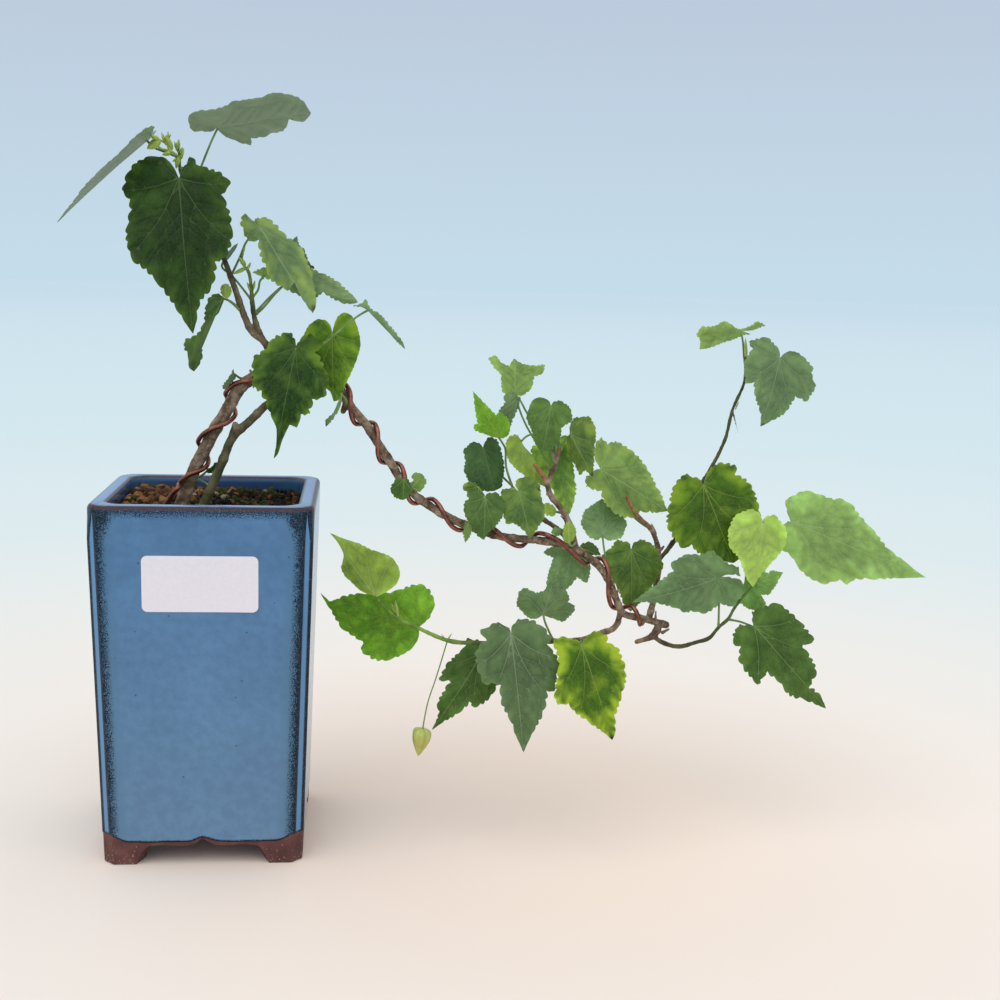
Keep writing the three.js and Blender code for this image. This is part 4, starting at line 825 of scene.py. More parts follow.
# Painted shade in the fissures and painted highlight on the ridges, from the relief, on old and cut wood.
lift = node(tree, "MapRange", None, {0: raised, 1: -0.5, 2: 1.1, 3: 0.4, 4: 1.25})
old_tone = node(tree, "VectorMath", SCALED, {0: old_tone, 3: lift})
pore = node(tree, "Math", TIMES, {0: pore, 1: 0.55})
old_tone = node(tree, "Mix", COLOURS, {0: pore, 6: old_tone, 7: linear("#a2937b")}, 2)
stops = [(0.3, "#55702a"), (0.5, "#6c8c38"), (0.7, "#8aa64c")]
young_tone = node(tree, "ValToRGB", {"stops": stops}, {0: patch})
stops = [(0.3, "#363822"), (0.55, "#4a4c2e"), (0.75, "#646340")]
half_tone = node(tree, "ValToRGB", {"stops": stops}, {0: patch})
snag_tone = node(tree, "VectorMath", SCALED, {0: linear("#9a7350")[:3], 3: lift})
to_snag = node(tree, "MapRange", None, {0: young, 1: -0.8, 2: -1.0})
old_tone = node(tree, "Mix", COLOURS, {0: to_snag, 6: old_tone, 7: snag_tone}, 2)
to_half = node(tree, "MapRange", None, {0: young, 1: 0.05, 2: 0.45})
to_young = node(tree, "MapRange", None, {0: young, 1: 0.5, 2: 0.95})
tone = node(tree, "Mix", COLOURS, {0: to_half, 6: old_tone, 7: half_tone}, 2)
tone = node(tree, "Mix", COLOURS, {0: to_young, 6: tone, 7: young_tone}, 2)
tree.links.new(tone, surface.inputs["Base Color"])
dull = node(tree, "MapRange", None, {0: young, 3: 0.82, 4: 0.5})
tree.links.new(dull, surface.inputs["Roughness"])
surface.inputs["Specular IOR Level"].default_value = 0.2
bump = node(tree, "Bump", None, {"Height": fine, "Strength": 0.35, "Distance": 0.00025})
tree.links.new(bump, surface.inputs["Normal"])

melted.materials.clear()
melted.materials.append(bark)
for key, values in (("youth", youth), ("relief", relief), ("pores", pores)):
    melted.attributes.new(key, "FLOAT", "POINT").data.foreach_set("value", values.astype(np.float32))
melted.shade_smooth()
melted.name = "maple_wood"
wood = bpy.data.objects.new("maple_wood", melted)
bpy.context.scene.collection.objects.link(wood)
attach(wood, "root")
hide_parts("wood")

# Training wire. One strand of soft aluminium, 2.2 mm thick, pushed into the soil and wound up the trunk, over
# the arch and along the branch to its end. Each entry of the turns is "across half-turns". The ring is the
# radius of its coils, which are wider round the two trunks.
WIRE_RADIUS = 1.1
WIRE_RING = 3.45
WIRE_RING_ON_TRUNK = 4.35
TRUNK_FROM, TRUNK_TO = 225, 262
WIRE_ENTRY = "158 516 -3, 169 498.5 -4, 178 487.5 -4.5"
WIRE_TURNS = (
    "188.5 0.1, 199 1, 207 2, 226.5 3, 234 4, 262 5, 285 6, 300 7, 341 8, 361 9, 369 10, 387 11, 395 12, "
    "417 13, 430 14, 461 15, 486 16, 522 17, 541 18, 590 19, 598 20, 617.5 21, 629 22, 645 23.1"
)
WIRE_STEPS_PER_HALF_TURN = 5
WIRE_STEP = 0.0008
WIRE_SIDES = 20

drawn_line = smooth_line(trace(MAIN_LINE), 0.5)
line_across = np.array([p.x for p in drawn_line])


def on_line(across):
    """The point of the main line there."""
    return Vector([np.interp(across, line_across, [p[k] for p in drawn_line]) for k in range(3)])


knots = trace(WIRE_TURNS)
wire_points = [seen(*p) for p in trace(WIRE_ENTRY)]
for a, b in zip(knots, knots[1:]):
    for k in range(WIRE_STEPS_PER_HALF_TURN):
        knot = a.lerp(b, k / WIRE_STEPS_PER_HALF_TURN)
        centre = seen(*on_line(knot.x))
        heading = (seen(*on_line(knot.x + 2)) - seen(*on_line(knot.x - 2))).normalized()
        left = heading.cross(Vector((0, 1, 0))).normalized()
        back = left.cross(heading)
        on_trunk = 1 - ease(knot.x, TRUNK_FROM, TRUNK_TO)
        ring = (WIRE_RING + (WIRE_RING_ON_TRUNK - WIRE_RING) * on_trunk) / MM_PER_M
        turn = math.pi * knot.y
        wire_points.append(centre + left * (ring * math.cos(turn)) - back * (ring * math.sin(turn)))
path = smooth_line(wire_points, WIRE_STEP)
vertices, faces = [], []
tube(path, [WIRE_RADIUS / MM_PER_M] * len(path), WIRE_SIDES, vertices, faces)

# Anodised aluminium: drawn wire with a brown-copper dye under a clear oxide skin. Metallic with a soft sheen.
dyed, tree, surface, _ = new_material("copper_anodised_aluminium")
place = node(tree, "TexCoord", out="Object")
worn = node(tree, "TexNoise", None, {"Vector": place, "Scale": 240, "Detail": 4})
stops = [(0.3, "#6c4134"), (0.5, "#875344"), (0.72, "#a66c5a")]
tone = node(tree, "ValToRGB", {"stops": stops}, {0: worn})
tree.links.new(tone, surface.inputs["Base Color"])
surface.inputs["Metallic"].default_value = 0.85
sheen = node(tree, "MapRange", None, {0: worn, 1: 0.3, 2: 0.7, 3: 0.22, 4: 0.34})
tree.links.new(sheen, surface.inputs["Roughness"])

wire = build("training_wire_strand", vertices, faces, [dyed], sharp=60)
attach(wire, "root")
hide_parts("training_wire")

# Soil. Fired clay grains, pumice and bark crumb of 2 to 5 mm, filled in round the stems to 8 mm below the
# rim. A little moss grows on it, and a few grains are chalk white.
SOIL_BELOW_RIM = 8
SOIL_RISE = 1.2
SOIL_GAP = 0.6
BED_CELLS = 40
SOIL_CORNER = 5.6
STEM_FEET_BELOW = 0.162
GRAIN_SPACING = 2.15
GRAIN_SCATTER = 0.9
GRAIN_SIZES = (0.7, 0.9, 1.2, 1.5, 1.9)
GRAIN_SEED = 7
# How many of the places have a second grain on top.
UPPER_SHARE = 0.33
# Tones along the grains' colours: the bed's own, chalk white, and moss.
BED_TONE = 0.12
CHALK_TONE = 0.98
CHALK_SHARE = 0.015
MOSS_TONE = 1.6

soil_top = POT_HEIGHT - SOIL_BELOW_RIM
soil_half = pot_half(soil_top) - POT_WALL - SOIL_GAP
stem_feet = [((c * MM_PER_M - POT_PLACE), r * MM_PER_M) for c, _, _, r in grown if c.z < STEM_FEET_BELOW]
stem_feet += [((c * MM_PER_M - POT_PLACE), WIRE_RADIUS) for c in path if c.z < STEM_FEET_BELOW]


def bed_height(x, y):
    """Height of the soil under the top grains."""
    swell = 1.3 * noise.noise(Vector((x, y, 0)) * 0.06) + 0.7 * noise.noise(Vector((x, y, 5)) * 0.21)
    return soil_top - 1.1 + swell + SOIL_RISE * y / soil_half - 0.8 * x / soil_half


def in_corner(x, y, room=0):
    """The same place, drawn in where the pot's inner corner is cut."""
    over = max(0, abs(x) + abs(y) + room * 1.4 + SOIL_CORNER - 2 * soil_half) / 2
    return x - math.copysign(over, x), y - math.copysign(over, y)


vertices, faces, tones = [], [], []
for j in range(BED_CELLS + 1):
    for i in range(BED_CELLS + 1):
        x, y = in_corner(*[soil_half * (2 * n / BED_CELLS - 1) for n in (i, j)])
        vertices.append(Vector((x, y, bed_height(x, y))))
faces += grid_faces(BED_CELLS, BED_CELLS)
floor_half = pot_half(FLOOR_ABOVE) - POT_WALL - SOIL_GAP
border = grid_border(BED_CELLS, BED_CELLS)
foot = len(vertices)
for b in border:
    v = vertices[b]
    vertices.append(Vector((v.x / soil_half * floor_half, v.y / soil_half * floor_half, FLOOR_ABOVE + 0.3)))
for k in range(len(border)):
    n = (k + 1) % len(border)
    faces.append((border[k], foot + k, foot + n, border[n]))
faces.append(tuple(foot + k for k in range(len(border) - 1, -1, -1)))
tones += [BED_TONE] * len(vertices)

ball = bmesh.new()
bmesh.ops.create_icosphere(ball, subdivisions=2, radius=1)
ball_points = [v.co.copy() for v in ball.verts]
ball_faces = [[v.index for v in f.verts] for f in ball.faces]
ball.free()
dice = random.Random(GRAIN_SEED)
lines = int(2 * soil_half / GRAIN_SPACING)
for layer in range(2):
    for j in range(lines + 1):
        for i in range(lines + 1):
            if layer and dice.random() > UPPER_SHARE:
                continue
            x = (i + 0.5 * (j % 2) - lines / 2) * GRAIN_SPACING + dice.uniform(-GRAIN_SCATTER, GRAIN_SCATTER)
            y = (j - lines / 2) * GRAIN_SPACING + dice.uniform(-GRAIN_SCATTER, GRAIN_SCATTER)
            # The coarsest ochre lumps lie at the back left.
            lumps = ease(y - x, 8, 40)
            size = dice.choice(GRAIN_SIZES) * (0.85 + 0.6 * lumps)
            tone = 0.62 * dice.random() ** 1.4 * (1 - 0.45 * lumps) + 0.42 * lumps
            tone = CHALK_TONE if dice.random() < CHALK_SHARE else tone
            shape = Vector([dice.uniform(0.75, 1.15) for _ in range(3)])
            spin = Matrix.Rotation(dice.uniform(0, 6.28), 3, "Z")
            spin = spin @ Matrix.Rotation(dice.uniform(0, 3), 3, "X")
            seed = Vector((dice.uniform(0, 90), dice.uniform(0, 90), 0))
            limit = soil_half - size * 0.9
            x, y = in_corner(clamp(x, -limit, limit), clamp(y, -limit, limit), size)
            z = bed_height(x, y) + (1.1 if layer else 0.2) + 0.5 * lumps
            centre = Vector((x, y, z))
            near = min((centre - c).length - r for c, r in stem_feet)
            if near < size * (0.5 if layer == 0 else 0.9):
                continue
            mossy = noise.noise(Vector((x, y, 9)) * 0.09) > 0.2 and tone < 0.45
            start = len(vertices)
            for p in ball_points:
                q = spin @ Vector([a * b for a, b in zip(p, shape)])
                q *= size * (1 + 0.42 * noise.noise(p * 1.3 + seed) + 0.2 * noise.noise(p * 3.5 + seed))
                vertices.append(centre + q)
            tones += [MOSS_TONE if mossy else tone] * len(ball_points)
            faces += [tuple(start + n for n in f) for f in ball_faces]

# Soil grains: matt and porous, ochre to dark brown, a few white.
crumb, tree, surface, _ = new_material("fired_clay_grains")
place = node(tree, "TexCoord", out="Object")
tone = node(tree, "Attribute", {"attribute_name": "tone"}, None, "Fac")
fine = node(tree, "TexNoise", None, {"Vector": place, "Scale": 900, "Detail": 4})
stops = [(0.0, "#0c0806"), (0.34, "#1f130c"), (0.5, "#452b1a"), (0.63, "#7c5530"), (0.76, "#96703f")]
stops += [(0.87, "#2a1b15"), (0.99, "#a0937d")]
grain_tone = node(tree, "ValToRGB", {"stops": stops}, {0: tone})
shade = node(tree, "MapRange", None, {0: fine, 1: 0.25, 2: 0.75, 3: 0.45, 4: 1.4})
grain_tone = node(tree, "VectorMath", SCALED, {0: grain_tone, 3: shade})
moss_on = node(tree, "Math", {"operation": "GREATER_THAN"}, {0: tone, 1: 1.3})
stops = [(0.35, "#1d240d"), (0.6, "#3d4419")]
moss_tone = node(tree, "ValToRGB", {"stops": stops}, {0: fine})
grain_tone = node(tree, "Mix", COLOURS, {0: moss_on, 6: grain_tone, 7: moss_tone}, 2)
tree.links.new(grain_tone, surface.inputs["Base Color"])
surface.inputs["Roughness"].default_value = 0.9
surface.inputs["Specular IOR Level"].default_value = 0.25
bump = node(tree, "Bump", None, {"Height": fine, "Strength": 0.6, "Distance": 0.0004})
tree.links.new(bump, surface.inputs["Normal"])

vertices = [(v + POT_PLACE) / MM_PER_M for v in vertices]
soil = build("bonsai_soil", vertices, faces, [crumb], None, {"tone": tones}, sharp=35)
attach(soil, "root")
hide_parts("soil")

# Leaves. Thin soft blades, heart-shaped or with three to five lobes, with toothed edges, five to seven ribs
# from one junction and a blade that puffs up between them. Each has grown on its own stalk from the stem.

# A leaf is written as its name and tissue, then "key value;" for each thing about it. light scales its
# colour:
# partly its own tone, partly painted light on blades that lie in shade. yellow says how it has aged, pale how
# much of its underside's colour the upper face has, partly its own paler down and partly painted sheen where
# it catches the sky's glare, bite how deep its teeth are and drip what share of its length is plain at the
# tip. lean is how far its left and right side fall away in depth per mm from the midrib. junction, tip, left,
# right and stalk are traced. lobes are the ends of the lobes of a blade seen edge-on, and marks are "across
# down radius" of dead spots. also is a second blade of the leaf before it.
LEAF_TRACES = """
crown_top sheen; light 1.35; pale 1; bite 0.5; lean -1.8 1.8;
junction 216 128 3; tip 311 112 -4; stalk 212 140 5, 201 167 7, 190 195 3;
left 213 129.6, 205 130.5, 192 129.5, 188 121, 190 114, 199 110, 215 107, 240 101.5, 262 98, 285 94,
303 101.5;
right 222 133, 236 139.5, 252 144, 251.5 137, 272 135, 284 130, 289 119.5, 302 121.5, 309 116

crown_left sheen; light 1.3; pale 1;
junction 149 139 0; tip 57 222 3; lobes 133 139 -20, 137 146 20; stalk 153 147 0, 168 153 1, 179 158 1

crown_heart deep; light 1.08; yellow 0.12; pale 0.03; bite 0.85; lean 0.22 0.2;
junction 179 178.5 -11; tip 193 334 -19; stalk 182 172 -7, 183.5 168 -2, 181 168 1;
left 173 166, 165 158, 155 156.5, 141 159.5, 130 168, 121.5 191, 130 202, 127.5 232, 134 259, 148 271,
163 288, 178 310, 187 325;
right 183 168, 191 156, 200 166, 212 169.5, 222 173.5, 232 183.5, 223 194, 231 216, 233 239, 227 259,
218 262, 213 287, 201 302, 197 320

crown_behind deep; light 1.8;
junction 223 262 8; tip 238 243.5 11; lobes 228 252 0, 231 256 16; stalk 222 267 6, 233 277 4.5, 243 289 3,
252 301 0

crown_yellow sheen; light 1.15; yellow 0.4; lean 0.5 0.9;
junction 260 227 -9; tip 313 313 -13; marks 316 309 4.5; stalk 256 233 -5, 247 241 -3, 240 257 1.5,
231 276 0.5;
left 252 219.6, 244 213, 241 222, 246 237, 252 242, 259 240, 261 257, 266 268, 272 279, 282 287, 291 290.5,
294 282, 298 275, 303 292, 307 306;
right 254 217.6, 268 217, 282 232, 300 247, 307 261, 312 274, 316 295, 316 306

crown_right sheen; light 1.25; yellow 0.2; pale 0.2; lean 0.7 0.5;
junction 288 281 6; tip 358 302.5 4; stalk 280 288 5, 268 299 2, 257 311 0;
left 284 272, 291 262, 302 264, 320 272, 334 279, 346 289, 353 296;
right 284 289, 292 292, 306 297, 318 296.5, 323 292, 341 302, 350 303.5

crown_dark sheen; light 1.1; lean 0.1 0.1;
junction 299 268 17; tip 297 236 17; marks 313 268 3; stalk 290 279 16, 275 294 11, 264 307 5, 256.5 314 0;
left 290 264, 287 251, 291 241;
right 309 269.5, 315 268, 309 262, 306.5 255, 303 247.5, 300 246

crown_small fresh; light 1.4; pale 0.45; lean 0.3 0.5;
junction 264 276.5 1; tip 252.5 272.5 0; stalk 260 281 1, 258 290 1.5, 252 298 0;
left 268 280, 272 277, 266 267, 259 269;
right 264 280, 260 276, 256 274

arch_spray sheen; light 1.25; lean 1.2 -3.5;
junction 367 309.5 -11; tip 404.5 349 -8; stalk 358 316 -11, 345 326 -11, 326 342 -10.5, 306 353 -9.5,
297 363 -3, 295 367 0;
left 362 307, 353 305, 360 304, 366 299, 370 308, 380 315, 393 329, 401 341;
right 371 313, 379 320, 388 330, 397 341

crown_hanging green; light 0.95; lean -1.7 1.7;
junction 223 297 -3; tip 194 371.5 -6; stalk 229 300.5 -2, 238 307 -1;
left 217 293, 210 297.5, 205 311, 203 322, 197 334, 185 340, 185 349, 188 353, 190 368;
right 223 302, 216 316, 210 320, 207.5 330, 203.5 343, 202 360, 198 366

crown_young lime; light 1.15; pale 0.2; lean 0.4 0.4;
junction 226 299 -7; tip 225 283.5 -9; stalk 232 303 -6, 239.5 310 -1;
left 221 293, 221 286;
right 230 296, 231.5 290, 229 285

arch_front deep; light 1.4; yellow 0.3; bite 1.15; drip 0.33; lean 0.25 0.25;
junction 296 347 -16; tip 274 459 -22; stalk 295 353 -9, 291 367 0;
left 294 338, 290 331.5, 282 334, 274 338, 265 350, 253 358, 252.5 369, 254 389, 261 391, 265 400, 272 416,
277 428, 276 445;
right 299 341, 306 334, 317 335, 325 346, 316 351, 322 361, 328 376, 329 386, 324 398, 314 399, 309 414,
302 414, 297 427, 290 424, 283 438, 278 454

arch_back yellowed; light 1.35; yellow 0.3; bite 0.35; lean 0.05 0.1;
junction 332 333 -4.5; tip 334 401.5 -7.5; stalk 328 342 -2.5, 318 368 -1.5, 317 374 0;
left 330 325, 326 320.5, 318 319, 309 326, 303 340, 303 356, 308 371, 320 384, 330 391;
right 334 325, 338 316, 344 312, 352 316, 360.5 342, 355 364, 346 384, 340 399

arch_narrow sheen; light 1.2; yellow 0.3; lean 1.8 -1.8;
junction 341 393 -13; tip 326 426.5 -13; marks 326 426 2.5; stalk 344 397 -10, 346.5 401 -5, 347 405 -1;
left 339 399, 334 412, 326 420;
right 342 400, 338 412, 330 423

arch_left sheen; light 1.6; pale 0.9; lean -1.6 1.6;
junction 235 374 -3; tip 223.5 389.5 -4; stalk 240 378 -1, 244 379 0;
left 233 369, 228 379, 223 386;
right 236.5 376, 230 386, 226 389

trunk_low deep; light 2.3; lean 0.5 0.5;
junction 206 472 8; tip 217 462 9; stalk 201 476 9, 198 478 9, 207 484 4, 210 485 -1;
left 206 468.5, 211 467.5, 214 463.5;
right 209 474, 213 472, 216 467

branch_round green; lean 0.2 0.2;
junction 404 479 -8; tip 403 500 -9; stalk 402 481 -5, 400 479 0;
left 402 479.5, 397 478, 392 484, 390 490, 395 497.5;
right 406 477, 410 482, 413 491, 408 497

branch_small fresh; lean 0.2 0.3;
junction 412 488 -4; tip 422 474 -3; stalk 411 490 -3, 409 488 0;
left 410 484, 413 480, 411 475, 416 472.5;
right 417 491.5, 422 491, 427 481

middle_top fresh; light 1.15; yellow 0.1; lean 0.5 0.5;
junction 515 394 10; tip 514 358.5 14; stalk 520 400 9, 527 413 7, 545 441 2, 554 459 -2;
left 508 396, 502 391, 500 374, 494 368, 488 358, 496 355, 502 363, 509 366;
right 522 396, 530 390, 534 377, 543 373, 545 364, 532 365.5, 520 363

middle_lime yellowed; light 2.5; lean 0.35 0.6;
junction 499 438 -8; tip 473 391 -10; stalk 503 444 -3, 505.5 450 3, 506 466 4, 511.7 485.5 3;
left 494 437.5, 484 434, 474 430, 473 425, 477 423, 474.5 407;
right 505 438, 509.5 433, 507.5 418, 499 411.5, 495 415, 480 398.5

middle_dark sheen; lean 0.4 1.2;
junction 518 397 4; tip 509 431 3; stalk 518.5 406 4, 526 425 3, 540 449 1, 550 470 -2;
left 513 391, 503 396, 505 402, 498 411, 502 421;
right 521.5 397, 518 406, 513 418

middle_broad green; light 1.25; pale 0.05; lean 0.2 0.25;
junction 551 406 -11; tip 542 453 -12; stalk 554 414 -7, 558 435 -5, 559.3 450 -3;
left 549 401, 540 397.5, 533 400, 528 410, 526 418, 531 430, 533 440;
right 553.5 402, 560 400, 569 407, 571.5 414, 572 421, 561 427.5, 560 438, 549 450

middle_folded deep; light 2.4; pale 0.45; lean 0.35 1.1;
junction 483 448 -2; tip 494 491 -2; stalk 487 456 3, 500 474 7, 512 486 7, 518 493 4;
left 480 443.5, 472 441.5, 463 450, 465 461, 464 470, 472 485, 484 491;
right 484.5 443, 489 436.5, 496 439.5, 502 455, 504 468, 502 487

middle_yellow lime; light 1.25; yellow 0.3; pale 0.15; lean 0.3 1;
junction 521 440 2; tip 546 487.5 3; stalk 527 436 -0.4, 534 434.5 -3, 545 440 -4, 554 461 -3;
left 517 434, 510 436, 506 442, 507 457, 516 469, 532 480;
right 523.5 445, 531 454, 537 465, 543 475

middle_behind green; light 2.15; yellow 0.35; lean 0.2 0.1;
junction 556 441 9; tip 569 514.5 8; stalk 556.5 449 3, 555 461 -2;
left 548 437, 531 447, 531 456, 538 469, 550 485, 557 501, 563 509;
right 562 436, 569 436, 573 456, 574 475, 576 488, 573 502

middle_cupped green; light 1.05; yellow 0.4; lean 0.8 1;
junction 570 434 -5; tip 592.5 476.5 -8; marks 592 475 2.5; stalk 565.5 440 -3, 560.5 450 -3;
left 567.5 438, 567.5 451, 573 462, 579.5 475.5, 585 470;
right 570.5 424, 575 417, 583 417, 589 416.5, 595 429, 594 451

middle_large fresh; light 1.05; yellow 0.3; bite 1.2; lean 0.3 0.15;
junction 601 469 4; tip 668 511 1; stalk 610 485 9, 635 518 6, 650 529 2;
left 596 462, 594 452, 598 440, 603 437.5, 607 444, 617 441, 628 448, 645 465, 655 484;
right 594 470, 585 478, 587 488, 600 491, 604 502, 619 515.5, 634 517, 640 511, 658 512.5

middle_left green; pale 0.1; lean 0.15 0.2;
junction 485 497 -9; tip 484 540 -11; stalk 494 500 -5, 505 494 0, 512 489 3;
left 482 492, 473 489, 466 493, 468 499, 464 503, 464.5 514, 471 526, 477 535.5;
right 487.5 493, 497 492, 503 501, 503 514, 494 528, 489 532

also green; yellow 0.7; lean 0.2 0.2;
junction 478 487 -6; tip 463 489.5 -6; stalk 481 491 -7, 485 498 -8.8;
left 476 483.5, 468 481, 463 485;
right 479 490, 468 492.5

middle_front green; light 1.2; yellow 0.35; pale 0.15; lean 0.3 0.25;
junction 519 492 -8; tip 530.5 538.5 -12; marks 539 489 1.6; stalk 522 499 -3, 527 506 3;
left 514 487.5, 501 489.5, 501 506, 506 524, 513 523, 522 529, 527 535;
right 515.6 485.6, 516 480, 527 475.5, 539 484, 541 498, 544.5 514, 538 527

middle_round sheen; light 1.5; lean 0.15 0.15;
junction 602.6 536.5 6; tip 602 499 12; stalk 603.5 545 5, 606 561 3, 606.5 574 0;
left 597 540.5, 589 537, 580 523, 584 511, 592 505;
right 609 541, 622 538, 626.5 523, 620 513, 609 505

middle_low green; light 1.15; yellow 0.25; lean -0.05 -0.05;
junction 631 550 7.5; tip 630.5 611.5 8; stalk 640 554 11, 655 559 11;
left 629 542.5, 616 539.5, 612 546, 601 556, 606 571, 617 588, 624 605;
right 633.5 543, 642 539, 654 546, 663.5 565, 654 582, 642 600

branch_under sheen; light 1.5; lean 0.2 0.2;
junction 571 554 7; tip 563 592 7; stalk 572 550 4, 572 547 0;
left 565 546, 548 548, 543 553, 553 557.5, 547 577, 546 589;
right 577 546, 591 560, 589 576, 586 583, 577 577, 568 588

knot_yellow lime; light 1.15; lean 0.25 0.25;
junction 569 543.5 -8; tip 568 521 -9; stalk 571 546 -6, 575 543 -2, 574 541 -0.5;
left 563 541, 563 527;
right 573 540, 576 531, 573 524

knot_frilled green; light 2.1; pale 0.5; lean 0.3 0.3;
junction 560 532 -4; tip 551 532 -5; stalk 562 532.5 -1, 563 534 1.5;
left 561 535, 554 536.5;
right 561 528, 554 526.5

branch_dark green; light 0.85; lean 0.2 0.2;
junction 580 547.5 5; tip 601 555.5 6; stalk 577 549 3, 576 549.5 0;
left 581 543.5, 590 541, 597 547.5;
right 581 551, 590 554.5

twig_pale lime; light 1.55; pale 0.3; lean 0.2 0.2;
junction 557 512 2; tip 542 506 3; stalk 561 513 1, 564 513 -1.5;
left 554 516.5, 546 515.5;
right 554 506, 547 502

branch_hanging sheen; light 1.1; lean 0.3 0.35;
junction 543 615 -3; tip 552 585 -7; marks 564 586 3; stalk 545 622 -2, 553 640 0;
left 537 618.5, 529 618, 516 605, 519 590, 525 587, 537 592;
right 551 618, 563 622, 574 610, 574 604, 568 602, 569 597, 562 587

branch_edge fresh; lean 1.3 -1.3;
junction 469 521 -8; tip 465 542.5 -8; stalk 471 521 -6, 475 527 -1;
left 466 521, 462.5 532;
right 471 527, 469.5 536

right_broad yellowed; light 1.05; yellow 0.35; bite 1.3; lean 0.2 0.2;
junction 703 485 -4; tip 733 563 -8; stalk 706 479 0, 708 473 3;
left 700.5 480, 685 473.5, 674 485, 669 503, 666 522, 671 535, 681 548, 690 544, 697 552, 718 560;
right 705.5 479, 709 469, 722 462.5, 736.5 466, 735 474.5, 746 480, 756 500, 760 522, 750 548

right_lime lime; light 1.75; pale 0.3; bite 0.8; lean 0.2 0.3;
junction 763 521 -14; tip 752.5 587 -18; stalk 768 531 -10, 772 549 -5, 773.5 557 -3;
left 758 512, 751 508.5, 735 516, 727.5 532, 729 547, 738 558, 746 578;
right 766 516, 776 514.5, 785.5 530, 783 546, 769 564, 758 578

right_largest fresh; light 1.55; pale 0.25; bite 0.6; drip 0.12; lean 0.2 0.2;
junction 792 522 -4; tip 926 577.5 2; stalk 787 533 0, 778 551 -2, 774.5 557 -3;
left 787 511, 785 500, 805 491, 829 497.5, 843 499, 860 517, 864 522, 882 543, 904 561;
right 787 521, 778 528, 778 548, 788 553.5, 803 573, 821 582, 837 579, 845 583.5, 849 579, 885 577.5

right_left sheen; light 1.15; bite 0.8; lean 0.2 0.1;
junction 719 578 -11; tip 632 602.5 -14; stalk 719 590 -6, 719 604 -3, 718.5 626 0;
left 729 577, 741 580, 742 592, 733 607.5, 719 603, 704 612, 691 610, 684 611, 672 606, 655 602, 641 601.5;
right 729 574.5, 741 576, 737 566, 727 563, 712 550, 698 554, 687 553, 669 562, 672 569, 650 587

right_behind green; light 3; pale 0.35; lean 0.1 0.1;
junction 744 584 4; tip 783 572.5 6; stalk 741 590 7.5, 738.5 598 5.5, 737 603 0.5;
left 746 573, 757 566, 768 573, 771 569.5;
right 739 592, 738 602, 750 609.5, 763 610, 765 603, 760 594, 768 594.5, 776 584

right_lobed green; lean 0.2 0.15;
junction 754 626 -4; tip 826 708.5 -6; stalk 741 622 -2, 729 619.5 0;
left 748 624, 738 625, 732 636, 735 646, 739.5 646, 739 662, 756 683.5, 764.5 671, 776 679, 787 693,
806 700;
right 751.5 618, 752 610.5, 776 602.5, 783 607, 797 619, 812 639, 801 645.5, 811 660, 815 671, 809 685,
817 691

right_upper sheen; light 1.15; pale 0.08; lean 0.25 0.2;
junction 780 358 -9; tip 760.5 426.5 -13; marks 763 425 2; stalk 772 366 -4, 757 370 -1, 745 369 0;
left 779 350, 768 337, 757 339, 748 342, 752 349, 744 362, 744.5 384, 752 382, 754 397, 760 414;
right 783.5 354, 789 351.5, 801 355, 814 369, 811 372, 815 387, 804 402, 795 396, 784 412, 767 423

right_top fresh; light 1.35; yellow 0.15; pale 0.05; lean -1.6 1.6;
junction 742 331 -1; tip 699.5 349 -5; stalk 743 343 1.5, 744 357 2.2, 745 364 0.5;
left 754 330, 766 325, 757 321, 746 327.5, 738 328.5, 725 321.5, 713 325.5, 701 326, 696 335, 700 340;
right 751 335, 742 336, 729 340, 715 345

low_tip lime; light 1.2; bite 0.7; drip 0.25; lean 0.6 0.3;
junction 376.6 597 -8; tip 330 533 -11; stalk 379.5 601.5 -6;
left 364 591, 355 584, 342 567, 344 556, 339 544;
right 389 590, 397 583, 400 572, 392 557, 370 548, 360 543, 345 538.5

low_wide yellowed; light 2.6; bite 0.9; lean 0.12 0.3;
junction 419 627 3; tip 321 593 3; stalk 424 630 0, 428 632 -2.5;
left 419 637, 410 650, 386 659, 377 659, 361 650, 361.5 641, 340 624, 330 607;
right 430 617, 435.5 602.5, 427 587, 417 583.5, 390 591, 363 592, 345 595, 331 601

low_behind green; bite 0.9; drip 0.06; lean 0.2 0.2;
junction 483 652 6; tip 432 730 4; stalk 484 648 3, 485 643.5 1;
left 480 640, 466 638, 465 646, 445 664, 439 679, 449 680, 438 701, 438.5 713;
right 492 651, 500 670, 495 688, 484 701, 473 706, 470 701, 456 713, 443 721

low_lobed sheen; light 0.85; bite 0.8; drip 0.1; lean 0.2 0.2;
junction 511 634 -8; tip 523.5 752.5 -13; stalk 511 640 -3, 512 643 2;
left 509.5 627, 496 622, 480 631, 486 639.5, 476 650, 477 666, 483 682.5, 499 683, 501 700, 509 717,
517 738;
right 512 626, 520 618, 536 622, 553 639, 547 643, 557.5 660, 553 690.5, 547 689, 543 710, 534 729, 526 746

low_mottled yellowed; light 1.2; yellow 0.9; lean 0.2 0.2;
junction 582 645 -13; tip 612 740 -17; marks 612 738 3; stalk 582 648 -8, 581 641 -1;
left 579 641, 560 636, 552.5 641.5, 558 662, 554 697, 559 704, 567 702, 575 711, 588 721, 602 731;
right 585 639, 596 630, 608 636, 606 642, 617 647, 626 675, 622 690, 615 710, 614.5 732
"""
LEAF_NUMBERS = ("light", "yellow", "pale", "bite", "drip")


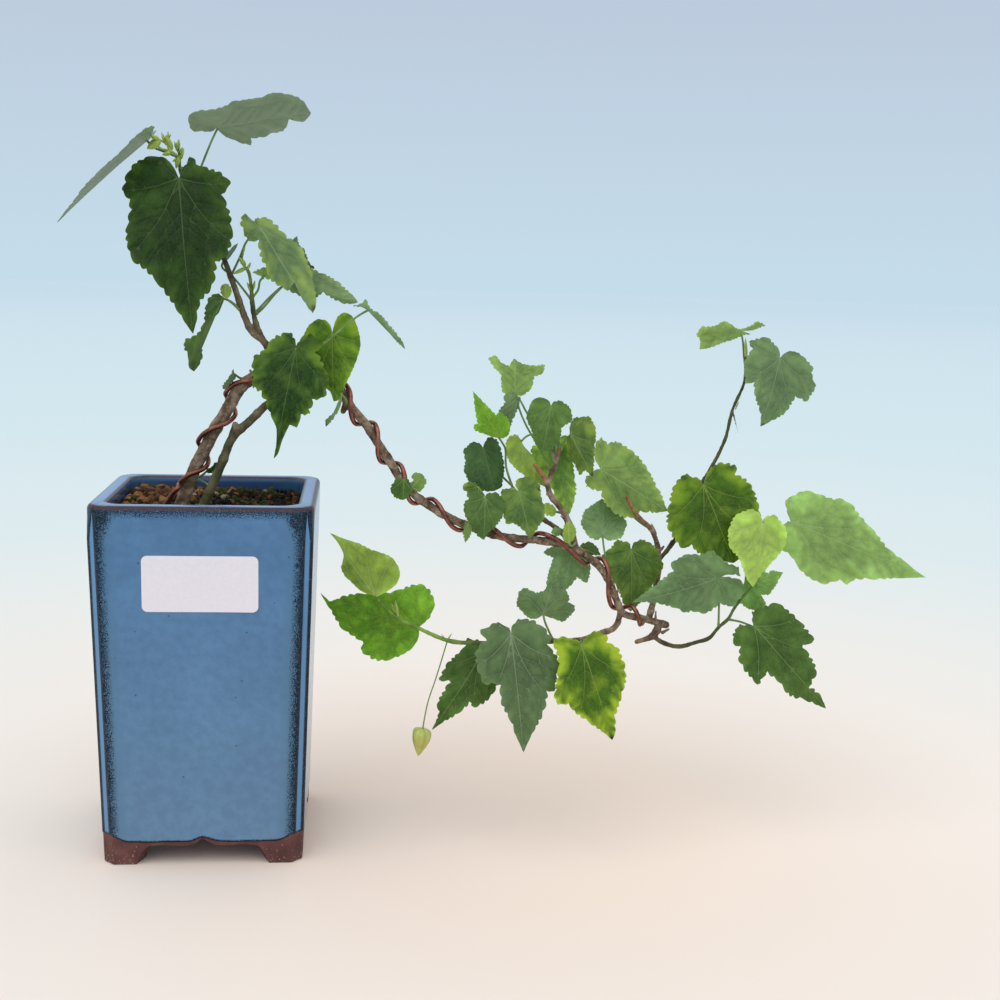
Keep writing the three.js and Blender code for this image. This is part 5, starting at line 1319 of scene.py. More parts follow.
def read_leaf(text):
    """One leaf of the text above: its entries as numbers where they are numbers, and as text for trace."""
    (name, tissue), *entries = [entry.split(None, 1) for entry in text.split(";")]
    leaf = {"name": name, "tissue": tissue}
    for key, value in entries:
        leaf[key] = float(value) if key in LEAF_NUMBERS else value
    if "lean" in leaf:
        leaf["lean"] = [float(n) for n in leaf["lean"].split()]
    return leaf


LEAVES = []
for text in LEAF_TRACES.strip().split("\n\n"):
    leaf = read_leaf(text)
    if leaf["name"] == "also":
        LEAVES[-1]["extra"] = leaf
    else:
        LEAVES.append(leaf)

# Half of a blade seen edge-on: along the midrib and across, where 1 across is its lobe's tip.
HEART_HALF = [(-0.06, 0.3), (-0.1, 0.62), (-0.02, 0.95), (0.1, 1), (0.22, 0.88), (0.45, 0.8), (0.65, 0.58)]
HEART_HALF += [(0.85, 0.24)]
LOBE_ALONG = 0.1
BLADE_BOW = 0.06
BLADE_THICK = 0.32
OUTLINE_STEP = 0.36
CORNER_TURN = math.radians(48)
STALK_RADIUS = 0.55
STALK_STEP = 0.0008
STALK_SIDES = 10
# Teeth: how far apart they stand, as a share of the leaf and in mm, how much of them stands out, how deep
# they are cut, how far they lean to the tip, and how blunt they are.
TOOTH_PITCH = 0.085
TOOTH_PITCH_LEAST, TOOTH_PITCH_MOST = 2.2, 5.0
TOOTH_OUT = 0.28
TOOTH_DEPTH = 0.26
TOOTH_LEAN = 1.5
TOOTH_BLUNT = 0.75


def turn_at(a, b, c):
    """How sharply a line turns at its middle point."""
    first, second = (b - a).xy, (c - b).xy
    if first.length < 1e-6 or second.length < 1e-6:
        return 0.0
    return abs(first.angle_signed(second))


def toothed(chain, inward_sign, unit, size, bite, drip, dice):
    """Softens a traced side, keeps its corners and cuts teeth that point to the tip.

    unit is mm per step of 1, and size the leaf's length in mm.
    """
    runs, current = [], [chain[0]]
    for i in range(1, len(chain) - 1):
        current.append(chain[i])
        if turn_at(chain[i - 1], chain[i], chain[i + 1]) > CORNER_TURN:
            runs.append(current)
            current = [chain[i]]
    runs.append(current + [chain[-1]])
    pitch = clamp(TOOTH_PITCH * size, TOOTH_PITCH_LEAST, TOOTH_PITCH_MOST)
    out = []
    for number, run in enumerate(runs):
        points = smooth_line(run, OUTLINE_STEP / unit)
        length = sum((b - a).length for a, b in zip(points, points[1:])) * unit
        teeth = round(length / pitch)
        depths = [dice.uniform(0.65, 1.3) for _ in range(teeth + 1)]
        shift = dice.uniform(0, 6)
        for i, point in enumerate(points[:-1]):
            ahead_of, behind = points[min(i + 1, len(points) - 1)], points[max(i - 1, 0)]
            heading = (ahead_of - behind).xy.normalized()
            inward = Vector((-heading.y, heading.x)) * inward_sign
            t = i / (len(points) - 1)
            phase = t * teeth
            phase = clamp(phase + 1.2 * t * (1 - t) * math.sin(1.9 * phase + shift), 0, teeth)
            part = phase % 1
            cut = 1 - math.sin(math.pi * part**TOOTH_LEAN) ** TOOTH_BLUNT
            if not teeth:
                cut = TOOTH_OUT
            depth = TOOTH_DEPTH * bite * pitch * (cut * depths[int(phase)] - TOOTH_OUT)
            to_tip = (point - chain[-1]).length * unit / size
            depth *= ease(to_tip, drip, drip + 0.2)
            if number == 0:
                depth *= ease(t, 0.0, 0.9)
            out.append(point.xy + inward * (depth / unit))
    return out


def distances(points, starts, ends):
    """For each point, its distance to each segment, and how far along the segment the nearest place is."""
    d = ends - starts
    size = np.maximum((d**2).sum(1), 1e-12)
    t = np.clip(((points[:, None, :] - starts[None]) * d[None]).sum(2) / size[None], 0, 1)
    gap = points[:, None, :] - (starts[None] + t[..., None] * d[None])
    return np.sqrt((gap**2).sum(2)), t


def inside(points, outline):
    """Which of the points lie inside the outline."""
    x, y = points[:, 0][:, None], points[:, 1][:, None]
    a, b = outline, np.roll(outline, -1, axis=0)
    crosses = (a[:, 1] > y) != (b[:, 1] > y)
    rise = np.where(b[:, 1] == a[:, 1], 1e-12, b[:, 1] - a[:, 1])
    at = a[:, 0] + (y - a[:, 1]) * (b[:, 0] - a[:, 0]) / rise
    return (crosses & (x < at)).sum(1) % 2 == 1


def reach(origin, heading, starts, ends):
    """How far a line from origin runs before it meets one of the segments."""
    d = ends - starts
    o = starts - origin
    cross = heading[0] * d[:, 1] - heading[1] * d[:, 0]
    cross = np.where(abs(cross) < 1e-12, 1e-12, cross)
    t = (o[:, 0] * d[:, 1] - o[:, 1] * d[:, 0]) / cross
    s = (o[:, 0] * heading[1] - o[:, 1] * heading[0]) / cross
    ok = (s >= 0) & (s <= 1) & (t > 1e-3)
    return t[ok].min() if ok.any() else 0.0


MIDRIB_REACH = 0.97
LOBE_RIB_REACH = 0.92
SIDE_RIB_REACH = 0.9
LOW_RIB_REACH = 0.8
RIB_BEND = 0.05
VEIN_TURN_ON_MIDRIB, VEIN_TURN_ON_RIB = 0.86, 0.92
VEIN_REACH = 0.82
VEIN_CURL = 0.16


def turned(v, angle):
    """The same arrow, turned by an angle in the view."""
    c, s = math.cos(angle), math.sin(angle)
    return np.array([v[0] * c - v[1] * s, v[0] * s + v[1] * c])


def veins_of(junction, tip, outline, sides, unit):
    """Ribs from the junction and the side veins off them: (points, width at the start, width at the end)."""
    rib = tip - junction
    length = np.linalg.norm(rib)
    starts, ends = outline, np.roll(outline, -1, axis=0)
    axis = rib / length
    main = [(np.linspace(0, 1, 12)[:, None] * rib * MIDRIB_REACH + junction, 1.0, 0.35)]
    for side, sign in zip(sides, (0, 1)):
        offset = side - junction
        along = offset @ axis
        out = abs(offset[:, 0] * axis[1] - offset[:, 1] * axis[0])
        lobe = side[np.argmax(np.where(along < 0.62 * length, out, -1))]
        to_lobe = lobe - junction
        angle = math.atan2(axis[0] * to_lobe[1] - axis[1] * to_lobe[0], axis @ to_lobe)
        targets = [(to_lobe * LOBE_RIB_REACH, 0.8)]
        if abs(angle) > 0.75 and length * unit > 12:
            heading = turned(axis, angle * 0.42)
            targets.append((heading * reach(junction, heading, starts, ends) * SIDE_RIB_REACH, 0.85))
        low = side[np.argmin(along)]
        if along.min() < -0.04 * length and length * unit > 16:
            targets.append(((low - junction) * LOW_RIB_REACH, 0.55))
        for target, width in targets:
            t = np.linspace(0, 1, 10)[:, None]
            bend = turned(target, math.pi / 2) * (RIB_BEND if angle < 0 else -RIB_BEND)
            main.append((junction + target * t + bend * np.sin(math.pi * t), width, 0.3))
    if length * unit < 9:
        return main, []
    blocks = [(p[:-1], p[1:]) for p, _, _ in main]
    side_veins = []
    for number, (points, width, _) in enumerate(main):
        run = np.linalg.norm(points[-1] - points[0]) * unit
        count = int(clamp(run / clamp(length * unit / 6, 4, 7), 2, 8))
        for k in range(count):
            t = (k + (0.75 if number == 0 else 0.9)) / (count + 0.35)
            spot = points[0] + (points[-1] - points[0]) * t
            index = min(int(t * (len(points) - 1)), len(points) - 2)
            heading = points[index + 1] - points[index]
            heading = heading / np.linalg.norm(heading)
            spot = points[index] + heading * np.linalg.norm(points[index + 1] - points[index]) * 0.5
            for way in (-1, 1):
                if number and k == 0:
                    continue
                turn_by = way * (VEIN_TURN_ON_RIB if number else VEIN_TURN_ON_MIDRIB)
                turn_by *= 1 + 0.06 * ((k * 7 + number) % 5 - 2)
                start = spot + heading * (0.25 if way > 0 else -0.25) / unit
                start = points[index] + heading * ((start - points[index]) @ heading)
                ray = turned(heading, turn_by)
                others = [b for j, b in enumerate(blocks) if j != number]
                all_starts = np.concatenate([starts] + [b[0] for b in others])
                all_ends = np.concatenate([ends] + [b[1] for b in others])
                far = reach(start, ray, all_starts, all_ends)
                if far * unit < 1.6:
                    continue
                far = min(far * VEIN_REACH, 0.5 * length)
                s = np.linspace(0.0, 1, 6)[:, None]
                curl = turned(ray, -way * math.pi / 2) * far * VEIN_CURL
                side_veins.append((start + ray * far * s + curl * s**2, 0.5 * width, 0.12))
    return main, side_veins


def blade_sheet(leaf):
    """The blade's plane as 2D outline, and the way from there into space."""
    junction, tip = trace(leaf["junction"])[0], trace(leaf["tip"])[0]
    root, end = seen(*junction), seen(*tip)
    rib_mm = (end - root).length * MM_PER_M

    def bow(along):
        return -BLADE_BOW * rib_mm / MM_PER_M * math.sin(math.pi * clamp(along))

    if "lobes" in leaf:
        lobes = [seen(*p) - root for p in trace(leaf["lobes"])]
        across = [lobe - (end - root) * LOBE_ALONG for lobe in lobes]
        spans = [a.length * MM_PER_M for a in across]
        chains = []
        for sign, span in zip((-1, 1), spans):
            chain = [(0, 0)] + HEART_HALF + [(1, 0)]
            chains.append([Vector((u * rib_mm, sign * v * span, 0)) for u, v in chain])
        flat_tip = Vector((rib_mm, 0))

        def place(p):
            side = 1 if p[1] > 0 else 0
            u, v = p[0] / rib_mm, abs(p[1]) / spans[side]
            point = root + (end - root) * u + across[side] * v
            point.y += bow(u)
            return point

        return chains, Vector((0, 0)), flat_tip, 1.0, rib_mm, place

    flat = (tip - junction).xy
    unit = (seen(tip.x, tip.y, junction.z) - root).length * MM_PER_M / flat.length
    chains = [[junction] + trace(leaf[side]) + [tip] for side in ("left", "right")]
    chains = [[Vector((p.x, p.y, 0)) for p in chain] for chain in chains]
    left_side = np.mean([(p - chains[0][0]).xy.cross(flat) for p in chains[0]])

    def place(p):
        offset = Vector((p[0] - junction.x, p[1] - junction.y))
        along = offset.dot(flat) / flat.length_squared
        cross = offset.cross(flat)
        side = 0 if cross * left_side > 0 else 1
        out = abs(cross) / flat.length * unit
        depth = junction.z + along * (tip.z - junction.z) + out * leaf["lean"][side]
        point = seen(p[0], p[1], depth)
        point.y += bow(along)
        return point

    return chains, junction.xy, tip.xy, unit, rib_mm, place


# No blade passes the solids' own box.
PART_ROOM = 0.00005
PART_LOW = np.array(cad_bounds[0]) + PART_ROOM
PART_HIGH = np.array(cad_bounds[1]) - PART_ROOM
# The blade's relief in mm: it puffs up between its veins, ruffles towards its margin, dips along each vein
# above and stands out as a rib below.
QUILT = 0.7
QUILT_REACH = 1.7
RUFFLE = 1.25
RUFFLE_PER_M = 85
FRILL_PER_M = 190
VEIN_DIP = 0.12
RIB_HEIGHT = 0.22
# Its mesh has cells of a share of its length, in mm.
BLADE_CELLS = 62
CELL_LEAST, CELL_MOST = 0.4, 0.95
EDGEWAYS_RELIEF = 0.25


def grow_blade(leaf, seed):
    """The blade as vertices, triangles and marks, one sheet for each face."""
    dice = random.Random(seed)
    chains, junction, tip, unit, size, place = blade_sheet(leaf)
    loop = [p.xy for p in chains[0]] + [p.xy for p in chains[1][-2:0:-1]]
    area = sum(a.cross(b) for a, b in zip(loop, loop[1:] + loop[:1]))
    sign = 1 if area > 0 else -1
    bite, drip = leaf.get("bite", 1), leaf.get("drip", 0.03)
    left = toothed(chains[0], sign, unit, size, bite, drip, dice)
    right = toothed(chains[1], -sign, unit, size, bite, drip, dice)
    ring = left + [tip] + right[:0:-1]
    outline = np.array([tuple(p) for p in ring])
    sides = [np.array([tuple(p.xy) for p in chain[1:-1]]) for chain in chains]
    ribs, side_veins = veins_of(np.array(junction), np.array(tip), outline, sides, unit)
    veins = ribs + side_veins
    rib_count = sum(len(p) - 1 for p, _, _ in ribs)
    step = clamp(size / BLADE_CELLS, CELL_LEAST, CELL_MOST) / unit
    low, high = outline.min(0), outline.max(0)
    across = np.arange(low[0], high[0], step)
    down = np.arange(low[1], high[1], step * 0.866)
    grid = [(x + (0.5 * step if k % 2 else 0), y) for k, y in enumerate(down) for x in across]
    grid = np.array(grid) + np.array([[dice.uniform(-0.12, 0.12) * step for _ in range(2)] for _ in grid])
    vein_starts = np.concatenate([p[:-1] for p, _, _ in veins])
    vein_ends = np.concatenate([p[1:] for p, _, _ in veins])
    width_starts = np.concatenate([np.linspace(a, b, len(p))[:-1] for p, a, b in veins])
    width_ends = np.concatenate([np.linspace(a, b, len(p))[1:] for p, a, b in veins])
    grid = grid[inside(grid, outline)]
    ring_starts, ring_ends = outline, np.roll(outline, -1, axis=0)
    grid = grid[distances(grid, ring_starts, ring_ends)[0].min(1) > 0.5 * step]
    grid = grid[distances(grid, vein_starts, vein_ends)[0].min(1) > 0.45 * step]
    points = [Vector(p) for p in outline]
    edges = []
    for line, _, _ in veins:
        first = len(points)
        kept = line[inside(line, outline)]
        points += [Vector(p) for p in kept]
        edges += [(first + k, first + k + 1) for k in range(len(kept) - 1)]
    points += [Vector(p) for p in grid]
    flat_points, _, triangles, _, _, _ = delaunay_2d_cdt(points, edges, [list(range(len(outline)))], 1, 1e-5)
    flat_array = np.array([tuple(p) for p in flat_points])
    gaps, t = distances(flat_array, vein_starts, vein_ends)
    widths = width_starts + (width_ends - width_starts) * t
    between = gaps.min(1) * unit
    vein = (gaps * unit / widths).min(1)
    rib = (gaps * unit / widths)[:, :rib_count].min(1)
    margin = distances(flat_array, ring_starts, ring_ends)[0].min(1) * unit
    space = np.array([tuple(place(p)) for p in flat_points])
    triangles = np.array([f for f in triangles if len(f) == 3])
    corner = space[triangles]
    facing = np.cross(corner[:, 1] - corner[:, 0], corner[:, 2] - corner[:, 0])
    if (facing @ np.array(eye - Vector(space.mean(0)))).sum() < 0:
        triangles = triangles[:, ::-1]
        facing = -facing
    normals = np.zeros_like(space)
    for k in range(3):
        np.add.at(normals, triangles[:, k], facing)
    normals /= np.maximum(np.linalg.norm(normals, axis=1), 1e-15)[:, None]
    body = clamp(size / 45, 0.35, 1.15)
    # A blade seen edge-on is drawn flatter and plainer.
    edgeways = "lobes" in leaf
    body *= EDGEWAYS_RELIEF if edgeways else 1
    puff = 0 if edgeways else QUILT * body
    lift = puff * (1 - np.exp(-between / (QUILT_REACH * body)))
    lift *= np.clip(margin / 2.5, 0.25, 1)
    ruffle = np.array(
        [noise.noise(Vector(p) * RUFFLE_PER_M) + 0.5 * noise.noise(Vector(p) * FRILL_PER_M) for p in space]
    )
    lift += RUFFLE * body * ruffle * (0.35 + 0.65 * np.exp(-margin / 5))
    lift -= (0 if edgeways else VEIN_DIP) * np.exp(-((vein / 0.5) ** 2))
    space = space + normals * (lift / MM_PER_M)[:, None]
    thick = BLADE_THICK * clamp(size / 30, 0.6, 1) / (2 * MM_PER_M)
    ridge = (0 if edgeways else RIB_HEIGHT / MM_PER_M) * body * np.exp(-((vein / 0.55) ** 2))
    top = np.clip(space + normals * thick, PART_LOW, PART_HIGH)
    under = np.clip(space - normals * (thick + ridge)[:, None], PART_LOW, PART_HIGH)
    count = len(space)
    faces = [tuple(f) for f in triangles] + [(c + count, b + count, a + count) for a, b, c in triangles]
    rim = {}
    for a, b, c in triangles:
        for edge in ((a, b), (b, c), (c, a)):
            if (edge[1], edge[0]) in rim:
                del rim[(edge[1], edge[0])]
            else:
                rim[edge] = True
    faces += [(b, a, a + count, b + count) for a, b in rim]
    dead = np.zeros(count)
    for text in leaf["marks"].split(",") if "marks" in leaf else []:
        x, y, radius = [float(n) for n in text.split()]
        away = np.hypot(flat_array[:, 0] - x, flat_array[:, 1] - y)
        dead = np.maximum(dead, np.clip(1.4 - away / radius, 0, 1))
    if edgeways:
        vein, rib, between = vein + 4, rib + 4, between * 0 + 2
    marks = {
        "vein": np.tile(np.minimum(vein, 4), 2),
        "rib": np.tile(np.minimum(rib, 4), 2),
        "between": np.tile(np.minimum(between, 8), 2),
        "margin": np.tile(np.minimum(margin, 12), 2),
        "under": np.repeat([leaf.get("pale", 0.0), 1.0], count),
        "edgeways": np.full(2 * count, float(edgeways)),
        "yellow": np.full(2 * count, leaf.get("yellow", 0.0)),
        "light": np.full(2 * count, leaf.get("light", 1.0)),
        "dead": np.tile(dead, 2),
    }
    return [Vector(p) for p in np.concatenate([top, under])], faces, marks


def grow_stalk(leaf, vertices, faces):
    """Adds the leaf's stalk, from its junction to the stem, thicker at both ends."""
    junction, tip = trace(leaf["junction"])[0], trace(leaf["tip"])[0]
    route = [junction.lerp(tip, 0.02)] + trace(leaf["stalk"])
    # The stalk joins the side of the blade that it comes from.
    route[0].z += 0.5 if route[1].z > junction.z else -0.3
    path = smooth_line([seen(*p) for p in route], STALK_STEP)
    radii = []
    for i in range(len(path)):
        t = i / (len(path) - 1)
        at_stem = 0.3 * math.exp(-(((1 - t) * len(path) / 2) ** 2))
        at_blade = 0.12 * math.exp(-((t * len(path) / 2) ** 2))
        swell = at_stem + at_blade
        radii.append(STALK_RADIUS / MM_PER_M * (0.85 + 0.15 * t + swell))
    tube(path, radii, STALK_SIDES, vertices, faces)


# Light that comes through a blade is yellower and brighter than its face; about a quarter of it does.
LEAF_GLOW = (1.4, 1.45, 0.8)
LEAF_CLEAR = 0.28
LEAF_MARKS = ("vein", "rib", "between", "margin", "under", "edgeways", "yellow", "light", "dead")


def leaf_tissue(name, tones, vein_tone, aged_tone, under_tone, satin, gloss, down):
    """A blade: waxy upper skin, paler downy underside, and light shining through."""
    material, tree, surface, out = new_material(name)
    place = node(tree, "TexCoord", out="Object")
    vein, rib, between, margin, under, edgeways, yellow, light, dead = [
        node(tree, "Attribute", {"attribute_name": key}, None, "Fac") for key in LEAF_MARKS
    ]
    # Patches of about 8 mm, mottle of about 3 mm, and the finest net of veins in cells of about 1.6 mm.
    patch = node(tree, "TexNoise", None, {"Vector": place, "Scale": 120, "Detail": 4})
    net = node(tree, "TexVoronoi", {"feature": "DISTANCE_TO_EDGE"}, {"Vector": place, "Scale": 620})
    stops = list(zip((0.28, 0.5, 0.72), tones))
    tone = node(tree, "ValToRGB", {"stops": stops}, {0: patch})
    edge_light = node(tree, "MapRange", None, {0: margin, 1: 0.0, 2: 12.0, 3: 1.28, 4: 0.82})
    tone = node(tree, "VectorMath", SCALED, {0: tone, 3: edge_light})
    # Painted shade along the veins, where the blade dips, and painted highlight where it puffs up between
    # them.
    painted_puff_shade = node(tree, "MapRange", None, {0: between, 1: 0.2, 2: 2.8, 3: 0.8, 4: 1.08})
    tone = node(tree, "VectorMath", SCALED, {0: tone, 3: painted_puff_shade})
    mottle = node(tree, "TexNoise", None, {"Vector": place, "Scale": 330, "Detail": 3})
    mottle = node(tree, "MapRange", None, {0: mottle, 1: 0.35, 2: 0.65, 3: 0.91, 4: 1.09})
    tone = node(tree, "VectorMath", SCALED, {0: tone, 3: mottle})
    net_line = node(tree, "MapRange", None, {0: net, 1: 0.0, 2: 0.14, 3: 0.1, 4: 0.0})
    tone = node(tree, "Mix", COLOURS, {0: net_line, 6: tone, 7: linear(vein_tone)}, 2)
    # Age yellows a blade from its margin inwards, in blotches between the veins.
    by_margin = node(tree, "MapRange", None, {0: margin, 1: 6.0, 2: 0.3, 3: 0.0, 4: 1.6})
    by_gap = node(tree, "MapRange", None, {0: between, 1: 0.5, 2: 2.6, 3: 0.25, 4: 1.0})
    patchy = node(tree, "MapRange", None, {0: patch, 1: 0.35, 2: 0.65, 3: -0.3, 4: 0.3})
    aged = node(tree, "Math", TIMES, {0: by_margin, 1: by_gap})
    aged = node(tree, "Math", None, {0: aged, 1: patchy})
    aged = node(tree, "Math", {"operation": "MULTIPLY", "use_clamp": True}, {0: aged, 1: yellow})
    tone = node(tree, "Mix", COLOURS, {0: aged, 6: tone, 7: linear(aged_tone)}, 2)
    # Each leaf's light factor: partly its own tone, partly painted light on blades that lie in shade.
    tone = node(tree, "VectorMath", SCALED, {0: tone, 3: light})
    # The pale share: partly the upper face's own down, partly painted sheen of the sky's glare.
    beneath = node(tree, "Math", TIMES, {0: under, 1: 0.7})
    tone = node(tree, "Mix", COLOURS, {0: beneath, 6: tone, 7: linear(under_tone)}, 2)
    line = node(tree, "MapRange", None, {0: vein, 1: 0.45, 2: 0.05, 3: 0.0, 4: 0.3})
    rib_line = node(tree, "MapRange", None, {0: rib, 1: 0.38, 2: 0.08, 3: 0.0, 4: 0.6})
    line = node(tree, "Math", {"operation": "MAXIMUM"}, {0: line, 1: rib_line})
    tone = node(tree, "Mix", COLOURS, {0: line, 6: tone, 7: linear(vein_tone)}, 2)
    tone = node(tree, "Mix", COLOURS, {0: dead, 6: tone, 7: linear("#4a3024")}, 2)
    tree.links.new(tone, surface.inputs["Base Color"])
    surface.inputs["Roughness"].default_value = satin
    surface.inputs["IOR"].default_value = 1.42
    surface.inputs["Specular IOR Level"].default_value = gloss
    surface.inputs["Sheen Weight"].default_value = down
    surface.inputs["Sheen Roughness"].default_value = 0.3
    grain = node(tree, "TexNoise", None, {"Vector": place, "Scale": 1400, "Detail": 2})
    swell = node(tree, "MapRange", None, {0: net, 1: 0.0, 2: 0.3})
    relief = node(tree, "Math", None, {0: swell, 1: grain})
    depth = node(tree, "MapRange", None, {0: edgeways, 3: 0.2, 4: 0.0})
    bump = node(tree, "Bump", None, {"Height": relief, "Strength": depth, "Distance": 0.00018})
    tree.links.new(bump, surface.inputs["Normal"])
    glow = node(tree, "VectorMath", TIMES, {0: tone, 1: LEAF_GLOW})
    through = node(tree, "BsdfTranslucent", None, {"Color": glow, "Normal": bump})
    both = node(tree, "MixShader", None, {0: LEAF_CLEAR, 1: surface.outputs[0], 2: through})
    tree.links.new(both, out.inputs["Surface"])
    return material


# Each tissue is its material's name, its three tones from shade to light, the tones of its veins, its aged
# patches and its underside, its roughness, its specular level and its down.
TISSUES = {
    "deep": (
        "old_dark_leaf", ("#1d360f", "#274314", "#34541c"), "#66804c", "#84a032", "#61755a",
        0.42, 0.22, 0.0,
    ),
    "green": (
        "grown_leaf", ("#425f24", "#51702e", "#64823d"), "#8ba866", "#a3b53c", "#7c8f6c",
        0.45, 0.25, 0.0,
    ),
    # The sheen tissue's grey-blue tones: partly the blade's own down, partly painted sheen of the sky's
    # glare.
    "sheen": (
        "grey_leaf_with_painted_sheen", ("#5d7749", "#688351", "#758f5b"), "#9bb087", "#a2b452", "#8b9c8a",
        0.42, 0.35, 0.12,
    ),
    "fresh": (
        "fresh_leaf", ("#6f8b45", "#7e9b50", "#8fac62"), "#a8c47c", "#b2c052", "#93a87a",
        0.46, 0.3, 0.02,
    ),
    "lime": (
        "young_lime_leaf", ("#789236", "#8aa340", "#9db650"), "#bccf84", "#bccb58", "#a0b279",
        0.46, 0.3, 0.02,
    ),
    "yellowed": (
        "yellowing_leaf", ("#3d6016", "#4c701a", "#608422"), "#98ab50", "#a3ba30", "#88966a",
        0.45, 0.22, 0.0,
    ),
}
tissues = {key: leaf_tissue(*look) for key, look in TISSUES.items()}

# Stalk skin: green and slightly downy.
stalk_skin, tree, surface, _ = new_material("green_stalk_skin")
place = node(tree, "TexCoord", out="Object")
patch = node(tree, "TexNoise", None, {"Vector": place, "Scale": 160, "Detail": 3})
stops = [(0.3, "#4f6a2c"), (0.5, "#64823a"), (0.7, "#7f9c50")]
tone = node(tree, "ValToRGB", {"stops": stops}, {0: patch})
tree.links.new(tone, surface.inputs["Base Color"])
surface.inputs["Roughness"].default_value = 0.5
surface.inputs["Sheen Weight"].default_value = 0.1

BLADE_SEED, SECOND_SEED = 100, 300
for number, leaf in enumerate(LEAVES):
    vertices, faces, marks = grow_blade(leaf, BLADE_SEED + number)
    if "extra" in leaf:
        more_vertices, more_faces, more_marks = grow_blade(leaf["extra"], SECOND_SEED + number)
        shift = len(vertices)
        vertices += more_vertices
        faces += [tuple(n + shift for n in f) for f in more_faces]
        marks = {key: np.concatenate([marks[key], more_marks[key]]) for key in marks}
    blade_faces = len(faces)
    blade_points = len(vertices)
    grow_stalk(leaf, vertices, faces)
    if "extra" in leaf:
        grow_stalk(leaf["extra"], vertices, faces)
    marks = {key: np.concatenate([v, np.zeros(len(vertices) - blade_points)]) for key, v in marks.items()}
    indices = [0] * blade_faces + [1] * (len(faces) - blade_faces)
    materials = [tissues[leaf["tissue"]], stalk_skin]
    piece = build("blade_" + leaf["name"], vertices, faces, materials, indices, marks, sharp=65)
    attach(piece, "root")
    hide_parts("leaf_" + leaf["name"])

# Buds and unfolding leaflets at the shoot tips: small pointed blades of soft new tissue, folded and cupped,
# pale green, grown straight from the shoot. Each is "root, tip" and its half width.
CROWN_BUDS = [
    ("160 140 -3, 147 149 -5", 4.8),
    ("159 140 -3.5, 150.5 135.5 -5", 2.8),
    ("172 150 -1, 165.5 135 -3", 3),
    ("166 145 -1, 161.5 132 -1", 1.8),
    ("168 147 -1, 168 131 -3", 1.8),
    ("172 152 -2, 162 155 -4", 2.6),
    ("167 141 -1, 171 134 -2", 1.2),
    ("164 143 -1, 158 138 -2", 1.0),
    ("170 151 -1, 164 149 -3", 1.2),
]
CROWN_STALKS = [
    "179 157 1, 173 152.5 -2, 168 147 -1, 166 140 0",
    "179 157 1, 173 152.5 -2, 160 148 -2, 156 144 -4",
]
CROWN_STALK_RADIUS = 0.0005
SHOOT_BUDS = [
    ("177 151 0.5, 179 139 -2", 2.4),
    ("179.5 161 1, 184 148 -1", 2),
    ("179 155 1, 176 169 -3", 2.6),
    ("178 150 0.5, 174 141 -1", 1.2),
    ("178 153 0.5, 183 147 -1", 1.2),
    ("178 158 1, 172 162 -2", 1.3),
    ("245.5 266 -0.6, 239 257 -2", 2.4),
    ("246 268 -0.6, 233 274 -4", 2.2),
    ("247 270 -0.6, 251 262 -2", 1.5),
    ("251 292 0, 247 282 -1", 1.4),
    ("253 290 0, 255 280 -1", 1.4),
    ("243 254 -1, 245 242 -1", 1.3),
    ("398 618 -5, 395 600 -8", 2),
    ("396.5 614.5 -5, 391 603 -7", 1.6),
    ("746 360 0, 745.5 338 -1", 1.8),
    ("447 641 -1, 441 634 -2", 0.7),
    ("447 641 -1, 452 633 -2", 0.7),
    ("735 410 -1, 739 401 -2", 0.7),
]
LEAFLET_ROWS = 10
LEAFLET_COLUMNS = 4
LEAFLET_CUP = 0.9
LEAFLET_THICK = 0.00032


def leaflet(route, half_width, vertices, faces):
    """A small pointed blade, cupped towards the viewer, with two skins."""
    root, tip = trace(route)
    rib = tip - root
    out = Vector((-rib.y, rib.x)).normalized()
    grid = []
    for i in range(LEAFLET_ROWS + 1):
        t = i / LEAFLET_ROWS
        width = half_width * math.sin(math.pi * clamp(t * 0.94 + 0.06) ** 0.85) ** 0.8
        centre = root + rib * t
        for j in range(LEAFLET_COLUMNS + 1):
            u = 2 * j / LEAFLET_COLUMNS - 1
            depth = centre.z + u * u - LEAFLET_CUP * (1 - u * u) * math.sin(math.pi * t)
            grid.append(seen(centre.x + out.x * width * u, centre.y + out.y * width * u, depth))
    start = len(vertices)
    thick = Vector((0, LEAFLET_THICK / 2, 0))
    vertices += [p - thick for p in grid] + [p + thick for p in grid]
    back = start + len(grid)
    for a, b, c, d in grid_faces(LEAFLET_COLUMNS, LEAFLET_ROWS):
        faces.append((start + a, start + b, start + c, start + d))
        faces.append((back + a, back + d, back + c, back + b))
    border = grid_border(LEAFLET_COLUMNS, LEAFLET_ROWS)
    for a, b in zip(border, border[1:] + border[:1]):
        faces.append((start + b, start + a, back + a, back + b))


# Young tissue: thin, pale yellow-green and downy, so light shines through it.
young_skin, tree, surface, out = new_material("young_bud_skin")
place = node(tree, "TexCoord", out="Object")
patch = node(tree, "TexNoise", None, {"Vector": place, "Scale": 420, "Detail": 3})
stops = [(0.3, "#9cb848"), (0.5, "#b6cc5a"), (0.7, "#cedb7a")]
tone = node(tree, "ValToRGB", {"stops": stops}, {0: patch})
tree.links.new(tone, surface.inputs["Base Color"])
surface.inputs["Roughness"].default_value = 0.5
surface.inputs["Sheen Weight"].default_value = 0.2
through = node(tree, "BsdfTranslucent", None, {"Color": tone})
both = node(tree, "MixShader", None, {0: 0.3, 1: surface.outputs[0], 2: through})
tree.links.new(both, out.inputs["Surface"])

